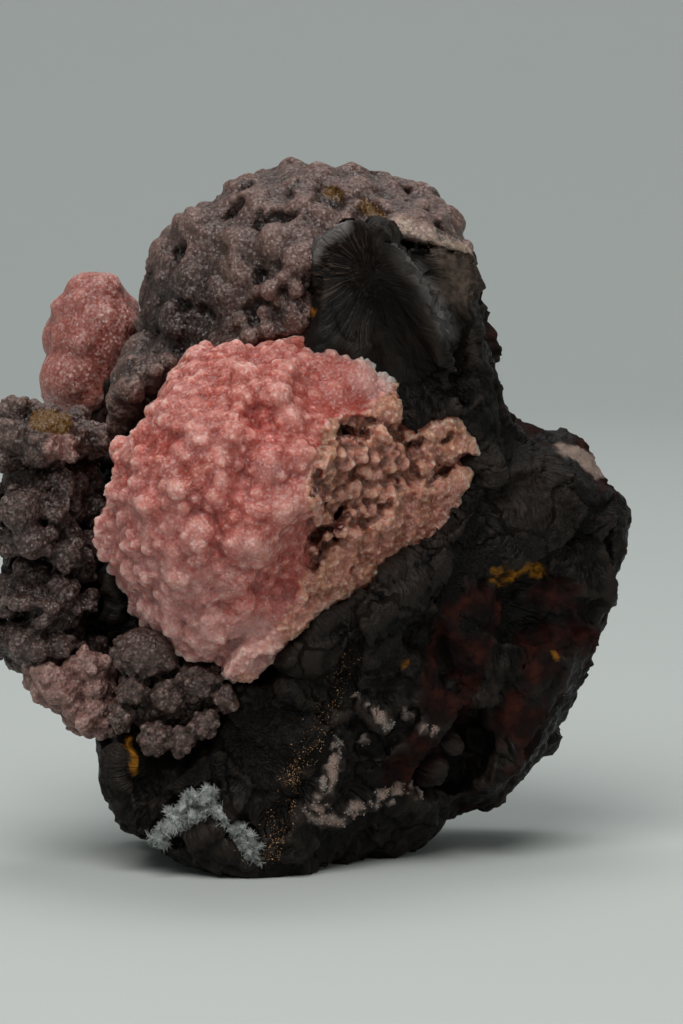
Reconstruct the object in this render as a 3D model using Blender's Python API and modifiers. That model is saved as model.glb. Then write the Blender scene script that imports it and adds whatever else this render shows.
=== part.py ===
"""A hand specimen of rhodochrosite: pink and grey-mauve botryoidal crusts grown on black fibrous goethite.

Metres, +Z up. The origin is under the middle of the specimen, on the surface that it stands on.
+X runs to the right of the side that shows the pink ball, and -Y comes out of that side.
"""
import math
import random

import bmesh
import bpy
import numpy as np
from mathutils import Euler, Matrix, Vector, noise
from mathutils.bvhtree import BVHTree

MM = 0.001

# Driving dimensions, in millimetres.
BALL_RADIUS = 14.0
FIT_GAP = 0.3
CRUST_VOXEL = 0.55
FINE_VOXEL = 0.4
ROCK_VOXEL = 0.8
FAR = 120.0

# Triangles left in each piece. The copy that cuts its seat keeps a share of them, but not less than the least. It is
# grown by this many fit gaps, and a plain copy trims off whatever is still closer than the second growth.
ROCK_TRIANGLES = 2080
PINK_TRIANGLES = 2060
LEFT_TRIANGLES = 1200
TOP_TRIANGLES = 1200
BACK_KNOB_TRIANGLES = 250
BEAD_TRIANGLES = 460
FLANK_TRIANGLES = 220
TUFT_TRIANGLES = 220
SEAT_SHARE = 0.5
SEAT_LEAST = 260
SEAT_GROWTH = 1.6
TRIM_GROWTH = 0.5

# Boulders that the rock is fused from: centre, radii, turn about X, Y and Z in degrees.
BOULDERS = (
    ((0.0, 4.0, 21.0), (20.5, 17.0, 23.0), (0, 0, 0)),
    ((16.0, 7.0, 29.0), (13.3, 14.0, 12.5), (0, 20, 0)),
    ((24.0, 8.0, 30.0), (6.4, 8.0, 5.6), (0, 0, 0)),
    ((14.0, 5.0, 17.0), (14.5, 14.0, 13.0), (0, -20, 0)),
    ((8.0, 3.0, 47.0), (9.5, 14.0, 14.5), (0, 0, 0)),
    ((9.5, 5.0, 52.0), (7.5, 10.0, 8.5), (0, 0, 0)),
    ((10.5, 5.0, 45.0), (6.2, 11.0, 7.0), (0, 0, 0)),
    ((-10.0, -1.0, 8.0), (15.5, 14.0, 15.0), (0, 0, 0)),
    ((-17.0, 6.0, 27.0), (10.5, 11.0, 12.5), (0, 0, 0)),
    ((-6.0, 10.0, 40.0), (13.0, 10.0, 12.0), (0, 0, 0)),
    ((-15.5, 15.0, 42.0), (7.5, 6.5, 8.5), (0, 0, 0)),
)

# Broken faces of the rock: a point on the face, its outward normal, and half its span where it is not a whole plane.
UPPER_BREAK = ((9.0, -4.2, 54.5), (0.45, -0.87, 0.20))
BROKEN_FACES = (
    ((0.0, -12.8, 8.0), (-0.05, -1.0, 0.08), None),
    ((5.0, -11.4, 20.0), (0.50, -0.86, -0.04), None),
    ((18.8, 4.0, 8.5), (0.74, -0.15, -0.64), None),
    ((25.3, 5.0, 21.0), (0.93, -0.10, -0.36), None),
    ((22.5, 8.0, 39.5), (0.56, 0.10, 0.82), (30.0, 8.0)),
    ((14.1, 6.0, 54.0), (0.99, 0.0, 0.115), (24.0, 12.5)),
    (*UPPER_BREAK, (14.0, 11.5)),
    ((10.0, 19.5, 20.0), (0.30, 0.95, -0.05), None),
    ((-12.0, 17.5, 18.0), (-0.45, 0.85, -0.25), None),
    ((-20.4, 0.0, 8.0), (-0.98, 0.0, -0.10), (30.0, 10.0)),
    ((-13.0, -4.0, 1.0), (-0.36, -0.12, -0.92), None),
    ((3.5, -8.0, 0.2), (0.26, -0.12, -0.96), None),
)
BLOCK_DEPTH = 40.0

# Hollows in the rock: centre, radii, turn.
ROCK_HOLLOWS = (
    ((-15.4, -13.5, 18.5), (6.4, 7.5, 7.6), (0, 0, 0)),
    ((-16.6, -13.0, 10.6), (2.6, 3.6, 4.4), (0, 20, 0)),
    ((20.0, -6.0, 23.0), (7.0, 6.0, 4.5), (0, 35, 15)),
    ((13.5, -9.0, 8.5), (3.6, 7.0, 6.0), (0, 30, 0)),
    ((5.0, -15.5, 12.0), (9.0, 4.2, 4.0), (0, 50, 0)),
)
ROUGH_SWELL = 1.1
ROUGH_CHIP = 0.9
ROUGH_LEDGE = 0.9

# The blade of radiating fibres beside the ball: the plane of its face, the outline on that plane as X and Z going
# round from the top, and the middle that the fibres run out from.
FAN_FACE = ((1.4, -10.0, 61.5), (-0.315, -0.90, -0.29))
FAN_OUTLINE = (
    (2.6, 61.0), (3.4, 60.5), (4.2, 59.9), (5.7, 58.4), (7.4, 56.5), (9.3, 54.2), (10.2, 52.6), (10.8, 50.7),
    (11.2, 48.4), (11.4, 46.0), (11.7, 43.0), (9.4, 41.7), (7.5, 42.3), (6.4, 44.5), (5.2, 47.1), (1.9, 48.4),
    (0.5, 49.2), (-0.7, 51.0), (-0.9, 53.4), (-1.6, 54.9), (-1.8, 56.2), (-1.5, 58.7), (0.0, 59.9), (1.4, 60.6),
)
FAN_CENTRE = (4.7, 56.1)
FAN_RIDGE = (-0.3, 0.3)
BLADE_DEPTH = 9.0
BLADE_RUN = (0.30, 0.95, 0.0)
BLADE_TAPER = 0.88

# The pale section where the pink crust broke: its plane, its outline as X and Z, and how far it goes in.
SECTION_FLOOR = ((4.2, -9.9, 27.0), (0.56, -0.82, -0.12))
SECTION_OUTLINE = (
    (5.1, 40.6), (7.9, 41.2), (9.8, 42.1), (11.7, 42.7), (13.2, 40.9), (14.8, 38.0), (13.2, 36.4), (12.4, 34.2),
    (11.4, 32.4), (8.8, 30.2), (6.6, 28.3), (4.0, 27.2), (1.0, 25.4), (-2.7, 22.6), (-6.5, 24.0), (-4.0, 34.0),
)
SECTION_DEPTH = 5.0
SECTION_CLEARING = (1.28, 16.0)

# The wall that the broken edge of the ball stands in: a point and the normal out of the ball.
SECTION_WALL = ((-1.9, -19.0, 35.1), (0.78, -0.30, -0.54))

# Small rounded crystals on the section, in the angle under the ball's broken edge: middle, half spans, count.
CLUSTER_MIDDLE = (3.9, -11.8, 36.9)
CLUSTER_HALF_SPAN = (3.6, 4.6)
CLUSTER_COUNT = 26
CLUSTER_RADII = (0.8, 1.5)

PINK_LOBES = (
    ((-9.1, -8.0, 34.8), (BALL_RADIUS, 13.0, 13.8), (0, 0, 0)),
    ((-3.0, -4.5, 40.0), (9.4, 10.0, 9.0), (0, 0, 0)),
    ((1.6, -5.5, 42.0), (5.2, 6.6, 5.2), (0, 0, 0)),
    ((-11.0, -8.0, 27.0), (8.5, 9.0, 7.6), (0, 0, 0)),
    ((-7.4, -11.6, 21.4), (3.3, 3.6, 3.2), (0, 0, 0)),
    ((-4.4, -10.8, 24.2), (3.0, 3.2, 2.5), (0, 0, 0)),
)
SECTION_VUGS = (
    ((0.0, -13.3, 31.0), (2.4, 2.2, 0.9), (0, -32, 20)),
    ((2.3, -13.2, 41.1), (1.3, 2.0, 0.9), (0, 0, 20)),
    ((-0.3, -14.2, 35.3), (0.9, 2.2, 1.3), (0, 25, 0)),
    ((10.4, -7.3, 37.3), (2.2, 1.8, 0.8), (0, -15, 30)),
    ((12.6, -5.9, 38.2), (0.8, 1.8, 0.7), (0, 0, 30)),
    ((6.5, -9.8, 37.4), (0.7, 1.8, 0.9), (0, 0, 30)),
)

# Grey-mauve crust on the left: stacked ledges with clefts between them, as height, half
# thickness, reach and turn.
LEFT_MIDDLE = (-27.4, -1.5)
LEFT_CORE = ((-27.0, 0.5, 30.5), (5.2, 6.8, 12.4), (0, 0, 0))
LEFT_LEDGES = (
    (39.8, 3.3, 0.86, (0, 8, 0)),
    (34.3, 2.2, 1.0, (6, -5, 0)),
    (29.6, 1.9, 0.95, (-5, 6, 0)),
    (25.4, 2.0, 1.0, (4, 5, 0)),
    (20.4, 2.7, 0.86, (-4, 10, 0)),
)
LEFT_REACH = (6.7, 8.9)

TOP_LOBES = (
    ((-1.6, 9.0, 52.4), (15.0, 14.6, 13.6), (0, 0, 0)),
    ((7.8, 12.0, 56.2), (7.2, 9.5, 7.6), (0, 0, 0)),
    ((8.0, 3.0, 57.8), (7.0, 8.5, 4.4), (0, 0, 0)),
    ((-14.5, 4.5, 44.0), (5.0, 7.5, 4.6), (0, 35, 0)),
)

# Under this face the dome's crust gives way to rock, on the right: point, normal, half span along Y and X.
TOP_RIM = ((8.3, -1.0, 58.9), (-0.25, 0.0, -0.97), (11.0, 7.6))
RIM_ROCK_DEPTH = 14.0

BACK_KNOB_LOBES = (
    ((-23.4, 16.0, 48.8), (4.6, 5.6, 6.4), (0, 8, 0)),
    ((-24.6, 15.5, 44.8), (3.8, 4.8, 4.4), (0, 0, 0)),
)
BEADS = (
    ((-17.0, -10.6, 20.9), (3.2, 3.0, 2.5), (0, 0, 0)),
    ((-18.2, -11.4, 17.4), (1.6, 1.6, 1.5), (0, 0, 0)),
    ((-15.0, -11.8, 16.9), (1.6, 1.6, 1.6), (0, 0, 0)),
    ((-12.2, -11.4, 18.2), (2.3, 1.8, 1.7), (0, -15, 0)),
    ((-19.4, -11.0, 14.8), (1.2, 1.3, 1.6), (0, 0, 0)),
    ((-16.2, -12.0, 12.9), (1.7, 1.7, 1.7), (0, 0, 0)),
    ((-13.8, -12.2, 12.7), (1.3, 1.5, 1.3), (0, 0, 0)),
    ((-11.6, -12.2, 14.4), (1.6, 1.5, 1.3), (0, -30, 0)),
    ((-9.6, -12.0, 16.6), (1.2, 1.3, 1.4), (0, 0, 0)),
    ((-14.6, -9.0, 16.4), (5.0, 3.6, 3.9), (0, 0, 0)),
)
FLANK_LUMPS = (
    ((-25.2, -5.0, 17.2), (3.8, 5.0, 2.4), (0, 25, 0)),
    ((-22.0, -6.0, 14.6), (2.8, 3.8, 2.6), (0, 30, 0)),
    ((-22.2, -7.6, 18.6), (2.3, 2.2, 2.1), (0, 0, 0)),
)

# Knobs on the crusts: distance between them, smallest and largest radius, share sunk in the crust, seed.
PINK_KNOBS = (2.9, (1.5, 2.3), 0.35, 5)
TOP_KNOBS = (2.9, (1.4, 2.3), 0.3, 31)
LEFT_KNOBS = (2.6, (1.2, 2.0), 0.3, 21)
BACK_KNOBS = (2.6, (1.2, 1.9), 0.35, 41)
FLANK_KNOBS = (2.4, (0.9, 1.5), 0.4, 51)

# White tufted mineral on the foot: spots on the broken face as X, Z and radius.
TUFT_SPOTS = (
    (-15.7, 3.7, 1.3),
    (-14.6, 4.9, 1.2),
    (-13.9, 6.2, 1.3),
    (-12.6, 7.4, 1.4),
    (-11.0, 7.3, 1.3),
    (-12.2, 5.9, 1.2),
    (-13.0, 5.0, 0.9),
    (-10.6, 8.2, 0.9),
    (-10.0, 6.0, 0.9),
    (-9.2, 5.0, 1.3),
    (-8.2, 4.2, 1.4),
    (-7.4, 3.2, 1.3),
    (-6.8, 2.0, 1.0),
)
TUFT_HEIGHT = 0.75


def mm(values):
    """Millimetres as a vector in metres."""
    return Vector(values) * MM


def turned(degrees):
    """A rotation from three angles in degrees."""
    return Euler([math.radians(a) for a in degrees]).to_matrix().to_4x4()


def clear_scene():
    for obj in list(bpy.data.objects):
        bpy.data.objects.remove(obj)


def collection(name):
    made = bpy.data.collections.new(name)
    bpy.context.scene.collection.children.link(made)
    return made


def object_of(bm, name, home):
    mesh = bpy.data.meshes.new(name)
    bm.to_mesh(mesh)
    bm.free()
    obj = bpy.data.objects.new(name, mesh)
    home.objects.link(obj)
    return obj


def add_lump(bm, centre, radii, turn=(0, 0, 0), detail=3):
    """One ellipsoid, sizes in millimetres."""
    place = Matrix.Translation(mm(centre)) @ turned(turn) @ Matrix.Diagonal((*mm(radii), 1.0))
    bmesh.ops.create_icosphere(bm, subdivisions=detail, radius=1.0, matrix=place)


def lumps(name, rows, home, detail=3):
    bm = bmesh.new()
    for centre, radii, turn in rows:
        add_lump(bm, centre, radii, turn, detail)
    return object_of(bm, name, home)


def settle(obj):
    """Turns an object's modifiers into its mesh."""
    bpy.context.view_layer.update()
    graph = bpy.context.evaluated_depsgraph_get()
    made = bpy.data.meshes.new_from_object(obj.evaluated_get(graph))
    old = obj.data
    obj.modifiers.clear()
    obj.data = made
    bpy.data.meshes.remove(old)
    return obj


def fuse(obj, voxel):
    """Joins overlapping lumps into one skin."""
    skin = obj.modifiers.new("fuse", "REMESH")
    skin.mode = "VOXEL"
    skin.voxel_size = voxel * MM
    return settle(obj)


def thin_out(obj, triangles):
    """Collapses edges until about this many triangles are left."""
    obj.data.calc_loop_triangles()
    collapse = obj.modifiers.new("thin", "DECIMATE")
    collapse.ratio = min(1.0, triangles / len(obj.data.loop_triangles))
    return settle(obj)


def biggest_body(obj):
    """Drops every loose shell but the largest."""
    bm = bmesh.new()
    bm.from_mesh(obj.data)
    left = set(bm.verts)
    shells = []
    while left:
        todo = [left.pop()]
        shell = set(todo)
        while todo:
            for edge in todo.pop().link_edges:
                for vert in edge.verts:
                    if vert in left:
                        left.remove(vert)
                        shell.add(vert)
                        todo.append(vert)
        shells.append(shell)
    shells.sort(key=len)
    for shell in shells[:-1]:
        bmesh.ops.delete(bm, geom=list(shell), context="VERTS")
    bm.to_mesh(obj.data)
    bm.free()
    return obj


def combine(obj, other, operation):
    """An exact Boolean of two objects. The other one is removed."""
    knife = obj.modifiers.new("combine", "BOOLEAN")
    knife.operation = operation
    knife.solver = "EXACT"
    knife.object = other
    settle(obj)
    bpy.data.objects.remove(other)
    return obj


def cut(obj, cutter):
    """Takes the cutter's volume out of the object."""
    return combine(obj, cutter, "DIFFERENCE")


def block_beyond(point, normal, half_span, home, depth=BLOCK_DEPTH):
    """A box standing on a face: its near side lies on the plane and spans only part of it."""
    aim = Vector(normal).normalized()
    spin = aim.to_track_quat("Z", "Y").to_matrix().to_4x4()
    place = Matrix.Translation(mm(point) + aim * depth * MM / 2) @ spin
    size = Matrix.Diagonal((2 * half_span[0] * MM, 2 * half_span[1] * MM, depth * MM, 1.0))
    bm = bmesh.new()
    bmesh.ops.create_cube(bm, size=1.0, matrix=place @ size)
    return object_of(bm, "block", home)


def all_beyond(point, normal, home):
    """Everything beyond a plane, for cutting away."""
    return block_beyond(point, normal, (FAR / 2, FAR / 2), home, FAR)


def on_plane(x, z, plane):
    """The point of a plane at this X and Z, in millimetres."""
    (px, py, pz), (nx, ny, nz) = plane
    return Vector((x, py - (nx * (x - px) + nz * (z - pz)) / ny, z))


def prism(near, far, name, home):
    """A closed body between two rings of points, in millimetres."""
    bm = bmesh.new()
    front = [bm.verts.new(point * MM) for point in near]
    back = [bm.verts.new(point * MM) for point in far]
    count = len(front)
    bm.faces.new(front)
    bm.faces.new(back[::-1])
    for i in range(count):
        j = (i + 1) % count
        bm.faces.new((front[j], front[i], back[i], back[j]))
    bmesh.ops.recalc_face_normals(bm, faces=bm.faces)
    return object_of(bm, name, home)


def section_plate(grown, inward, outward, name, home):
    """The section's outline, grown about its middle, run from inside the specimen to outside it."""
    ring = [on_plane(x, z, SECTION_FLOOR) for x, z in SECTION_OUTLINE]
    middle = sum(ring, Vector()) / len(ring)
    ring = [middle + (point - middle) * grown for point in ring]
    aim = Vector(SECTION_FLOOR[1]).normalized()
    return prism([p + aim * outward for p in ring], [p - aim * inward for p in ring], name, home)


def roughen(obj):
    """Moves the skin along its normals: broad swells, small chips and stepped ledges."""
    mesh = obj.data
    normals = [v.normal.copy() for v in mesh.vertices]
    for vert, normal in zip(mesh.vertices, normals):
        at = vert.co / MM
        swell = noise.fractal(at * 0.11, 1.0, 2.0, 3) * ROUGH_SWELL
        chips = noise.fractal(at * 0.42 + Vector((7, 3, 1)), 0.8, 2.1, 3) * ROUGH_CHIP
        step = noise.noise(at * 0.16 + Vector((2, 9, 4))) * 5.0
        shelf = (math.floor(step) + min(1.0, (step - math.floor(step)) * 3.0)) / 5.0 * ROUGH_LEDGE
        vert.co += normal * (swell + chips + shelf) * MM
    mesh.update()
    return obj


def tree_of(obj):
    return BVHTree.FromPolygons(
        [v.co.copy() for v in obj.data.vertices], [tuple(p.vertices) for p in obj.data.polygons]
    )


def buried(tree, point):
    """Whether a point lies inside a closed skin."""
    up = Vector((0.1, 0.2, 1.0)).normalized()
    step = 0.01 * MM
    crossings = 0
    hit = tree.ray_cast(point, up)[0]
    while hit is not None:
        crossings += 1
        hit = tree.ray_cast(hit + up * step, up)[0]
    return crossings % 2 == 1


def scatter(obj, spacing, seed, rock_tree):
    """Points with normals over a skin, at least this many millimetres apart, leaving out what lies in the rock."""
    draw = random.Random(seed)
    mesh = obj.data
    mesh.calc_loop_triangles()
    corners = [[mesh.vertices[i].co for i in tri.vertices] for tri in mesh.loop_triangles]
    areas = np.cumsum([tri.area for tri in mesh.loop_triangles])
    tries_per_spot = 14
    tries = int(areas[-1] / (spacing * MM) ** 2 * tries_per_spot)
    outward = 0.5 * MM
    taken = np.empty((0, 3))
    found = []
    for _ in range(tries):
        row = int(np.searchsorted(areas, draw.random() * areas[-1]))
        row = min(row, len(corners) - 1)
        a, b, c = corners[row]
        u, v = sorted((draw.random(), draw.random()))
        point = a * u + b * (v - u) + c * (1 - v)
        if len(taken) and np.linalg.norm(taken - np.array(point), axis=1).min() < spacing * MM:
            continue
        normal = mesh.loop_triangles[row].normal.copy()
        if buried(rock_tree, point + normal * outward):
            continue
        taken = np.vstack([taken, np.array(point)])
        found.append((point, normal))
    return found


def knobbly(name, base, knobs, rock_tree, home):
    """A smooth base with rounded knobs over it, fused into one skin."""
    spacing, (smallest, largest), sink, seed = knobs
    draw = random.Random(seed + 1)
    bm = bmesh.new()
    bm.from_mesh(base.data)
    for point, normal in scatter(base, spacing, seed, rock_tree):
        radius = draw.uniform(smallest, largest)
        squash = [radius * draw.uniform(0.88, 1.12) for _ in range(3)]
        add_lump(bm, (point - normal * radius * sink * MM) / MM, squash, (0, 0, draw.uniform(0, 180)), 2)
    bpy.data.objects.remove(base)
    return fuse(object_of(bm, name, home), CRUST_VOXEL)


def grown_copy(obj, gaps, home):
    """A copy of a piece, larger by this many fit gaps all round."""
    copy = bpy.data.objects.new("grown", obj.data.copy())
    home.objects.link(copy)
    grow = copy.modifiers.new("grow", "DISPLACE")
    grow.strength = FIT_GAP * gaps * MM
    grow.mid_level = 0.0
    return settle(copy)


def seat_cutter(obj, home):
    """A simpler, larger copy of a crust that cuts its seat in what it grew on."""
    keep = max(len(obj.data.polygons) * SEAT_SHARE, SEAT_LEAST)
    return thin_out(fuse(grown_copy(obj, SEAT_GROWTH, home), FINE_VOXEL), keep)


def fit_beside(piece, others, triangles, home):
    """Clears a piece of those already in place, then thins it out."""
    biggest_body(fuse(piece, FINE_VOXEL))
    for other in others:
        biggest_body(cut(piece, seat_cutter(other, home)))
    return biggest_body(thin_out(fuse(piece, FINE_VOXEL), triangles))


def join_meshes(obj, other):
    """Adds the other object's mesh to this one's and removes the other."""
    bm = bmesh.new()
    bm.from_mesh(obj.data)
    bm.from_mesh(other.data)
    bm.to_mesh(obj.data)
    bm.free()
    bpy.data.objects.remove(other)
    return obj


def fan_blade(name, home):
    """A blade of rock whose face is a fan of ridges running out from one point."""
    aim = Vector(FAN_FACE[1]).normalized()
    centre = on_plane(*FAN_CENTRE, FAN_FACE)
    rim = [on_plane(x, z, FAN_FACE) for x, z in FAN_OUTLINE]
    draw = random.Random(11)
    lifts = [draw.uniform(*FAN_RIDGE) for _ in rim]
    bm = bmesh.new()
    rings = []
    for share in (0.45, 1.0):
        ring = [centre + (point - centre) * share + aim * lift for point, lift in zip(rim, lifts)]
        rings.append([bm.verts.new(point * MM) for point in ring])
    run = Vector(BLADE_RUN).normalized() * BLADE_DEPTH
    rings.append([bm.verts.new((centre + (point - centre) * BLADE_TAPER + run) * MM) for point in rim])
    front_middle = bm.verts.new(centre * MM)
    back_middle = bm.verts.new((centre + run) * MM)
    count = len(rim)
    for i in range(count):
        j = (i + 1) % count
        bm.faces.new((front_middle, rings[0][i], rings[0][j]))
        for inner, outer in zip(rings, rings[1:]):
            bm.faces.new((inner[i], outer[i], outer[j], inner[j]))
        bm.faces.new((back_middle, rings[-1][j], rings[-1][i]))
    bmesh.ops.triangulate(bm, faces=bm.faces)
    bmesh.ops.recalc_face_normals(bm, faces=bm.faces)
    return object_of(bm, name, home)


def make_rock(name, home):
    """The black goethite: fused boulders broken along flat faces, roughened, with the fan's blade on it."""
    rock = lumps(name, BOULDERS, home)
    fuse(join_meshes(rock, block_beyond(*TOP_RIM, home, RIM_ROCK_DEPTH)), ROCK_VOXEL)
    for point, normal, half_span in BROKEN_FACES:
        if half_span:
            cut(rock, block_beyond(point, normal, half_span, home))
        else:
            cut(rock, all_beyond(point, normal, home))
    grown, outward = SECTION_CLEARING
    cut(rock, section_plate(grown, 0.0, outward, "clearing", home))
    cut(rock, fuse(lumps("hollows", ROCK_HOLLOWS, home), ROCK_VOXEL))
    fuse(rock, ROCK_VOXEL)
    roughen(rock)
    fuse(rock, ROCK_VOXEL)
    thin_out(rock, ROCK_TRIANGLES)
    combine(rock, fan_blade("blade", home), "UNION")
    cut(rock, section_plate(1.0, SECTION_DEPTH, outward, "clearing", home))
    cut(rock, all_beyond((0, 0, 0), (0, 0, -1), home))
    return biggest_body(rock)


def section_cluster(home):
    """Small rounded crystals standing on the section."""
    aim = Vector(SECTION_FLOOR[1]).normalized()
    across = Vector((0, 0, 1)).cross(aim).normalized()
    along = aim.cross(across)
    draw = random.Random(7)
    bm = bmesh.new()
    for _ in range(CLUSTER_COUNT):
        angle = draw.uniform(0, 2 * math.pi)
        reach = math.sqrt(draw.random())
        spot = Vector(CLUSTER_MIDDLE) + across * CLUSTER_HALF_SPAN[0] * reach * math.cos(angle)
        spot += along * CLUSTER_HALF_SPAN[1] * reach * math.sin(angle)
        radius = draw.uniform(*CLUSTER_RADII)
        add_lump(bm, spot, (radius, radius, radius), (0, 0, 0), 2)
    return object_of(bm, "cluster", home)


def make_pink(name, rock_tree, home):
    """The main pink ball, and the pale section where it broke."""
    pink = knobbly(name, fuse(lumps("pink_base", PINK_LOBES, home), CRUST_VOXEL), PINK_KNOBS, rock_tree, home)
    wedge = combine(all_beyond(*SECTION_FLOOR, home), all_beyond(*SECTION_WALL, home), "INTERSECT")
    cut(pink, wedge)
    join_meshes(pink, section_plate(1.0, SECTION_DEPTH, 0.0, "plate", home))
    join_meshes(pink, section_cluster(home))
    fuse(pink, CRUST_VOXEL)
    return cut(pink, fuse(lumps("vugs", SECTION_VUGS, home, 2), CRUST_VOXEL))


def make_left(name, rock_tree, home):
    """The grey-mauve crust on the left: ledges of knobs, with deep clefts between them."""
    rows = [LEFT_CORE]
    for height, half, reach, turn in LEFT_LEDGES:
        rows.append(((*LEFT_MIDDLE, height), (LEFT_REACH[0] * reach, LEFT_REACH[1] * reach, half), turn))
    base = fuse(lumps("left_base", rows, home), CRUST_VOXEL)
    return knobbly(name, base, LEFT_KNOBS, rock_tree, home)


def make_top(name, rock_tree, home):
    """The grey-mauve dome over the top, broken off on the right where the rock comes through."""
    base = fuse(lumps("top_base", TOP_LOBES, home), CRUST_VOXEL)
    crust = knobbly(name, base, TOP_KNOBS, rock_tree, home)
    cut(crust, all_beyond(*UPPER_BREAK, home))
    return cut(crust, block_beyond(*TOP_RIM, home))


def make_back_knob(name, rock_tree, home):
    """The small pink lobe at the back, on the left."""
    base = fuse(lumps("back_base", BACK_KNOB_LOBES, home), CRUST_VOXEL)
    return knobbly(name, base, BACK_KNOBS, rock_tree, home)


def make_beads(name, home):
    """The cluster of round grey beads in the hollow under the ball."""
    return fuse(lumps(name, BEADS, home), FINE_VOXEL)


def make_flank(name, rock_tree, home):
    """The pale pink lump under the left crust."""
    base = fuse(lumps("flank_base", FLANK_LUMPS, home), CRUST_VOXEL)
    return knobbly(name, base, FLANK_KNOBS, rock_tree, home)


def make_tuft(name, rock_tree, home):
    """White tufted crust over the foot's broken face."""
    bm = bmesh.new()
    for x, z, radius in TUFT_SPOTS:
        spot = rock_tree.ray_cast(mm((x, -FAR, z)), Vector((0, 1, 0)))[0] / MM
        add_lump(bm, spot, (radius, TUFT_HEIGHT, radius * 0.9), (0, 0, 0), 2)
    return fuse(object_of(bm, name, home), FINE_VOXEL)


def give_material(obj, name, colour, roughness):
    made = bpy.data.materials.new(name)
    made.use_nodes = True
    shader = made.node_tree.nodes["Principled BSDF"]
    shader.inputs["Base Color"].default_value = (*colour, 1.0)
    shader.inputs["Roughness"].default_value = roughness
    shader.inputs["Metallic"].default_value = 0.0
    made.diffuse_color = (*colour, 1.0)
    obj.data.materials.clear()
    obj.data.materials.append(made)


def main():
    clear_scene()
    home = collection("rhodochrosite")
    rock = make_rock("goethite_matrix", home)
    rock_tree = tree_of(rock)
    rough_pieces = (
        (make_pink("pink_ball", rock_tree, home), PINK_TRIANGLES),
        (make_beads("grey_beads", home), BEAD_TRIANGLES),
        (make_flank("flank_lump", rock_tree, home), FLANK_TRIANGLES),
        (make_left("grey_crust_left", rock_tree, home), LEFT_TRIANGLES),
        (make_top("grey_crust_top", rock_tree, home), TOP_TRIANGLES),
        (make_back_knob("back_pink_knob", rock_tree, home), BACK_KNOB_TRIANGLES),
        (make_tuft("white_tuft", rock_tree, home), TUFT_TRIANGLES),
    )
    pieces = []
    for piece, triangles in rough_pieces:
        pieces.append(fit_beside(piece, pieces, triangles, home))
    for piece in pieces:
        biggest_body(cut(rock, seat_cutter(piece, home)))
        biggest_body(cut(rock, grown_copy(piece, TRIM_GROWTH, home)))
    looks = {
        "goethite_matrix": ("goethite", (0.028, 0.024, 0.022), 0.45),
        "pink_ball": ("rhodochrosite_pink", (0.62, 0.19, 0.17), 0.4),
        "grey_beads": ("rhodochrosite_bead", (0.17, 0.12, 0.13), 0.45),
        "flank_lump": ("rhodochrosite_pale", (0.36, 0.19, 0.16), 0.45),
        "grey_crust_left": ("rhodochrosite_grey", (0.15, 0.12, 0.12), 0.45),
        "grey_crust_top": ("rhodochrosite_mauve", (0.16, 0.12, 0.12), 0.5),
        "back_pink_knob": ("rhodochrosite_rose", (0.50, 0.17, 0.15), 0.45),
        "white_tuft": ("white_tuft", (0.45, 0.50, 0.50), 0.7),
    }
    for piece in [rock] + pieces:
        give_material(piece, *looks[piece.name])


main()
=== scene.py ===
"""Looks of a hand specimen of rhodochrosite: a pink sugary ball and grey-mauve crusts on black goethite.

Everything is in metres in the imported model's frame: +Z up, -Y out of the side with the pink ball, +X to its
right. Tables give places and sizes in millimetres.
"""

import math

import bmesh
import bpy
import numpy as np
from mathutils import Matrix, Vector, noise


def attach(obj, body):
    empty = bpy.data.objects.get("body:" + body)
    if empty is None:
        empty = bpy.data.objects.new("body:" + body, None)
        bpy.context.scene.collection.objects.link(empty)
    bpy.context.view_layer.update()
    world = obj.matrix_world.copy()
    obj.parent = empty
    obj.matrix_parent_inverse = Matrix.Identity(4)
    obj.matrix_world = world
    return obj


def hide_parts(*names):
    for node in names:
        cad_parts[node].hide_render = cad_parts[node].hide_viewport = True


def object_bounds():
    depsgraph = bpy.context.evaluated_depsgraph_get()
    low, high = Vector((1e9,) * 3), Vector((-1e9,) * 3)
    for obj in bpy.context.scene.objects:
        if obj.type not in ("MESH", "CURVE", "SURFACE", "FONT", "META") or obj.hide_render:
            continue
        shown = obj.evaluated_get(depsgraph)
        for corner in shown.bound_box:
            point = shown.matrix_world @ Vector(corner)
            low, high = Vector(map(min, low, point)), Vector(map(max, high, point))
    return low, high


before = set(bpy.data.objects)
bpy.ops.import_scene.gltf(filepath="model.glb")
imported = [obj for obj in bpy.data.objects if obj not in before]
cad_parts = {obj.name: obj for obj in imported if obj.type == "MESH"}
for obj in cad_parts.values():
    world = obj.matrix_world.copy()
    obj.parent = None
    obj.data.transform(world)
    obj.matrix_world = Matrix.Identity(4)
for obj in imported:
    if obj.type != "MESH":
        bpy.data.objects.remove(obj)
cad_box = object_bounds()

MM = 0.001

# The camera's aim, its distance, how far above level it stands, and the way that it looks.
AIM = (1.1, 0.0, 33.0)
DISTANCE = 370.0
ELEVATION = math.radians(5.0)
AWAY = (0.0, math.cos(ELEVATION), -math.sin(ELEVATION))

# The ball's middle, and the normal out of the face that it broke along.
BALL_MIDDLE = (-9.1, -8.0, 34.8)
BALL_RADIUS = 14.0
SECTION_NORMAL = (0.56, -0.82, -0.12)

# Where the ball's skin is drawn in: the way from its middle, the cosines where it starts and is full, how far.
DRAWN_IN = (
    ((-1.0, 0.0, 0.0), 0.3, 0.8, 1.1),
    ((-0.87, 0.0, -0.49), 0.86, 0.97, -0.5),
    ((-0.8, 0.0, 0.6), 0.84, 0.96, 1.7),
    ((-0.97, 0.0, 0.2), 0.9, 0.98, 0.9),
)
LOW_LEFT = (-0.62, -0.1, -0.78)

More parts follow.
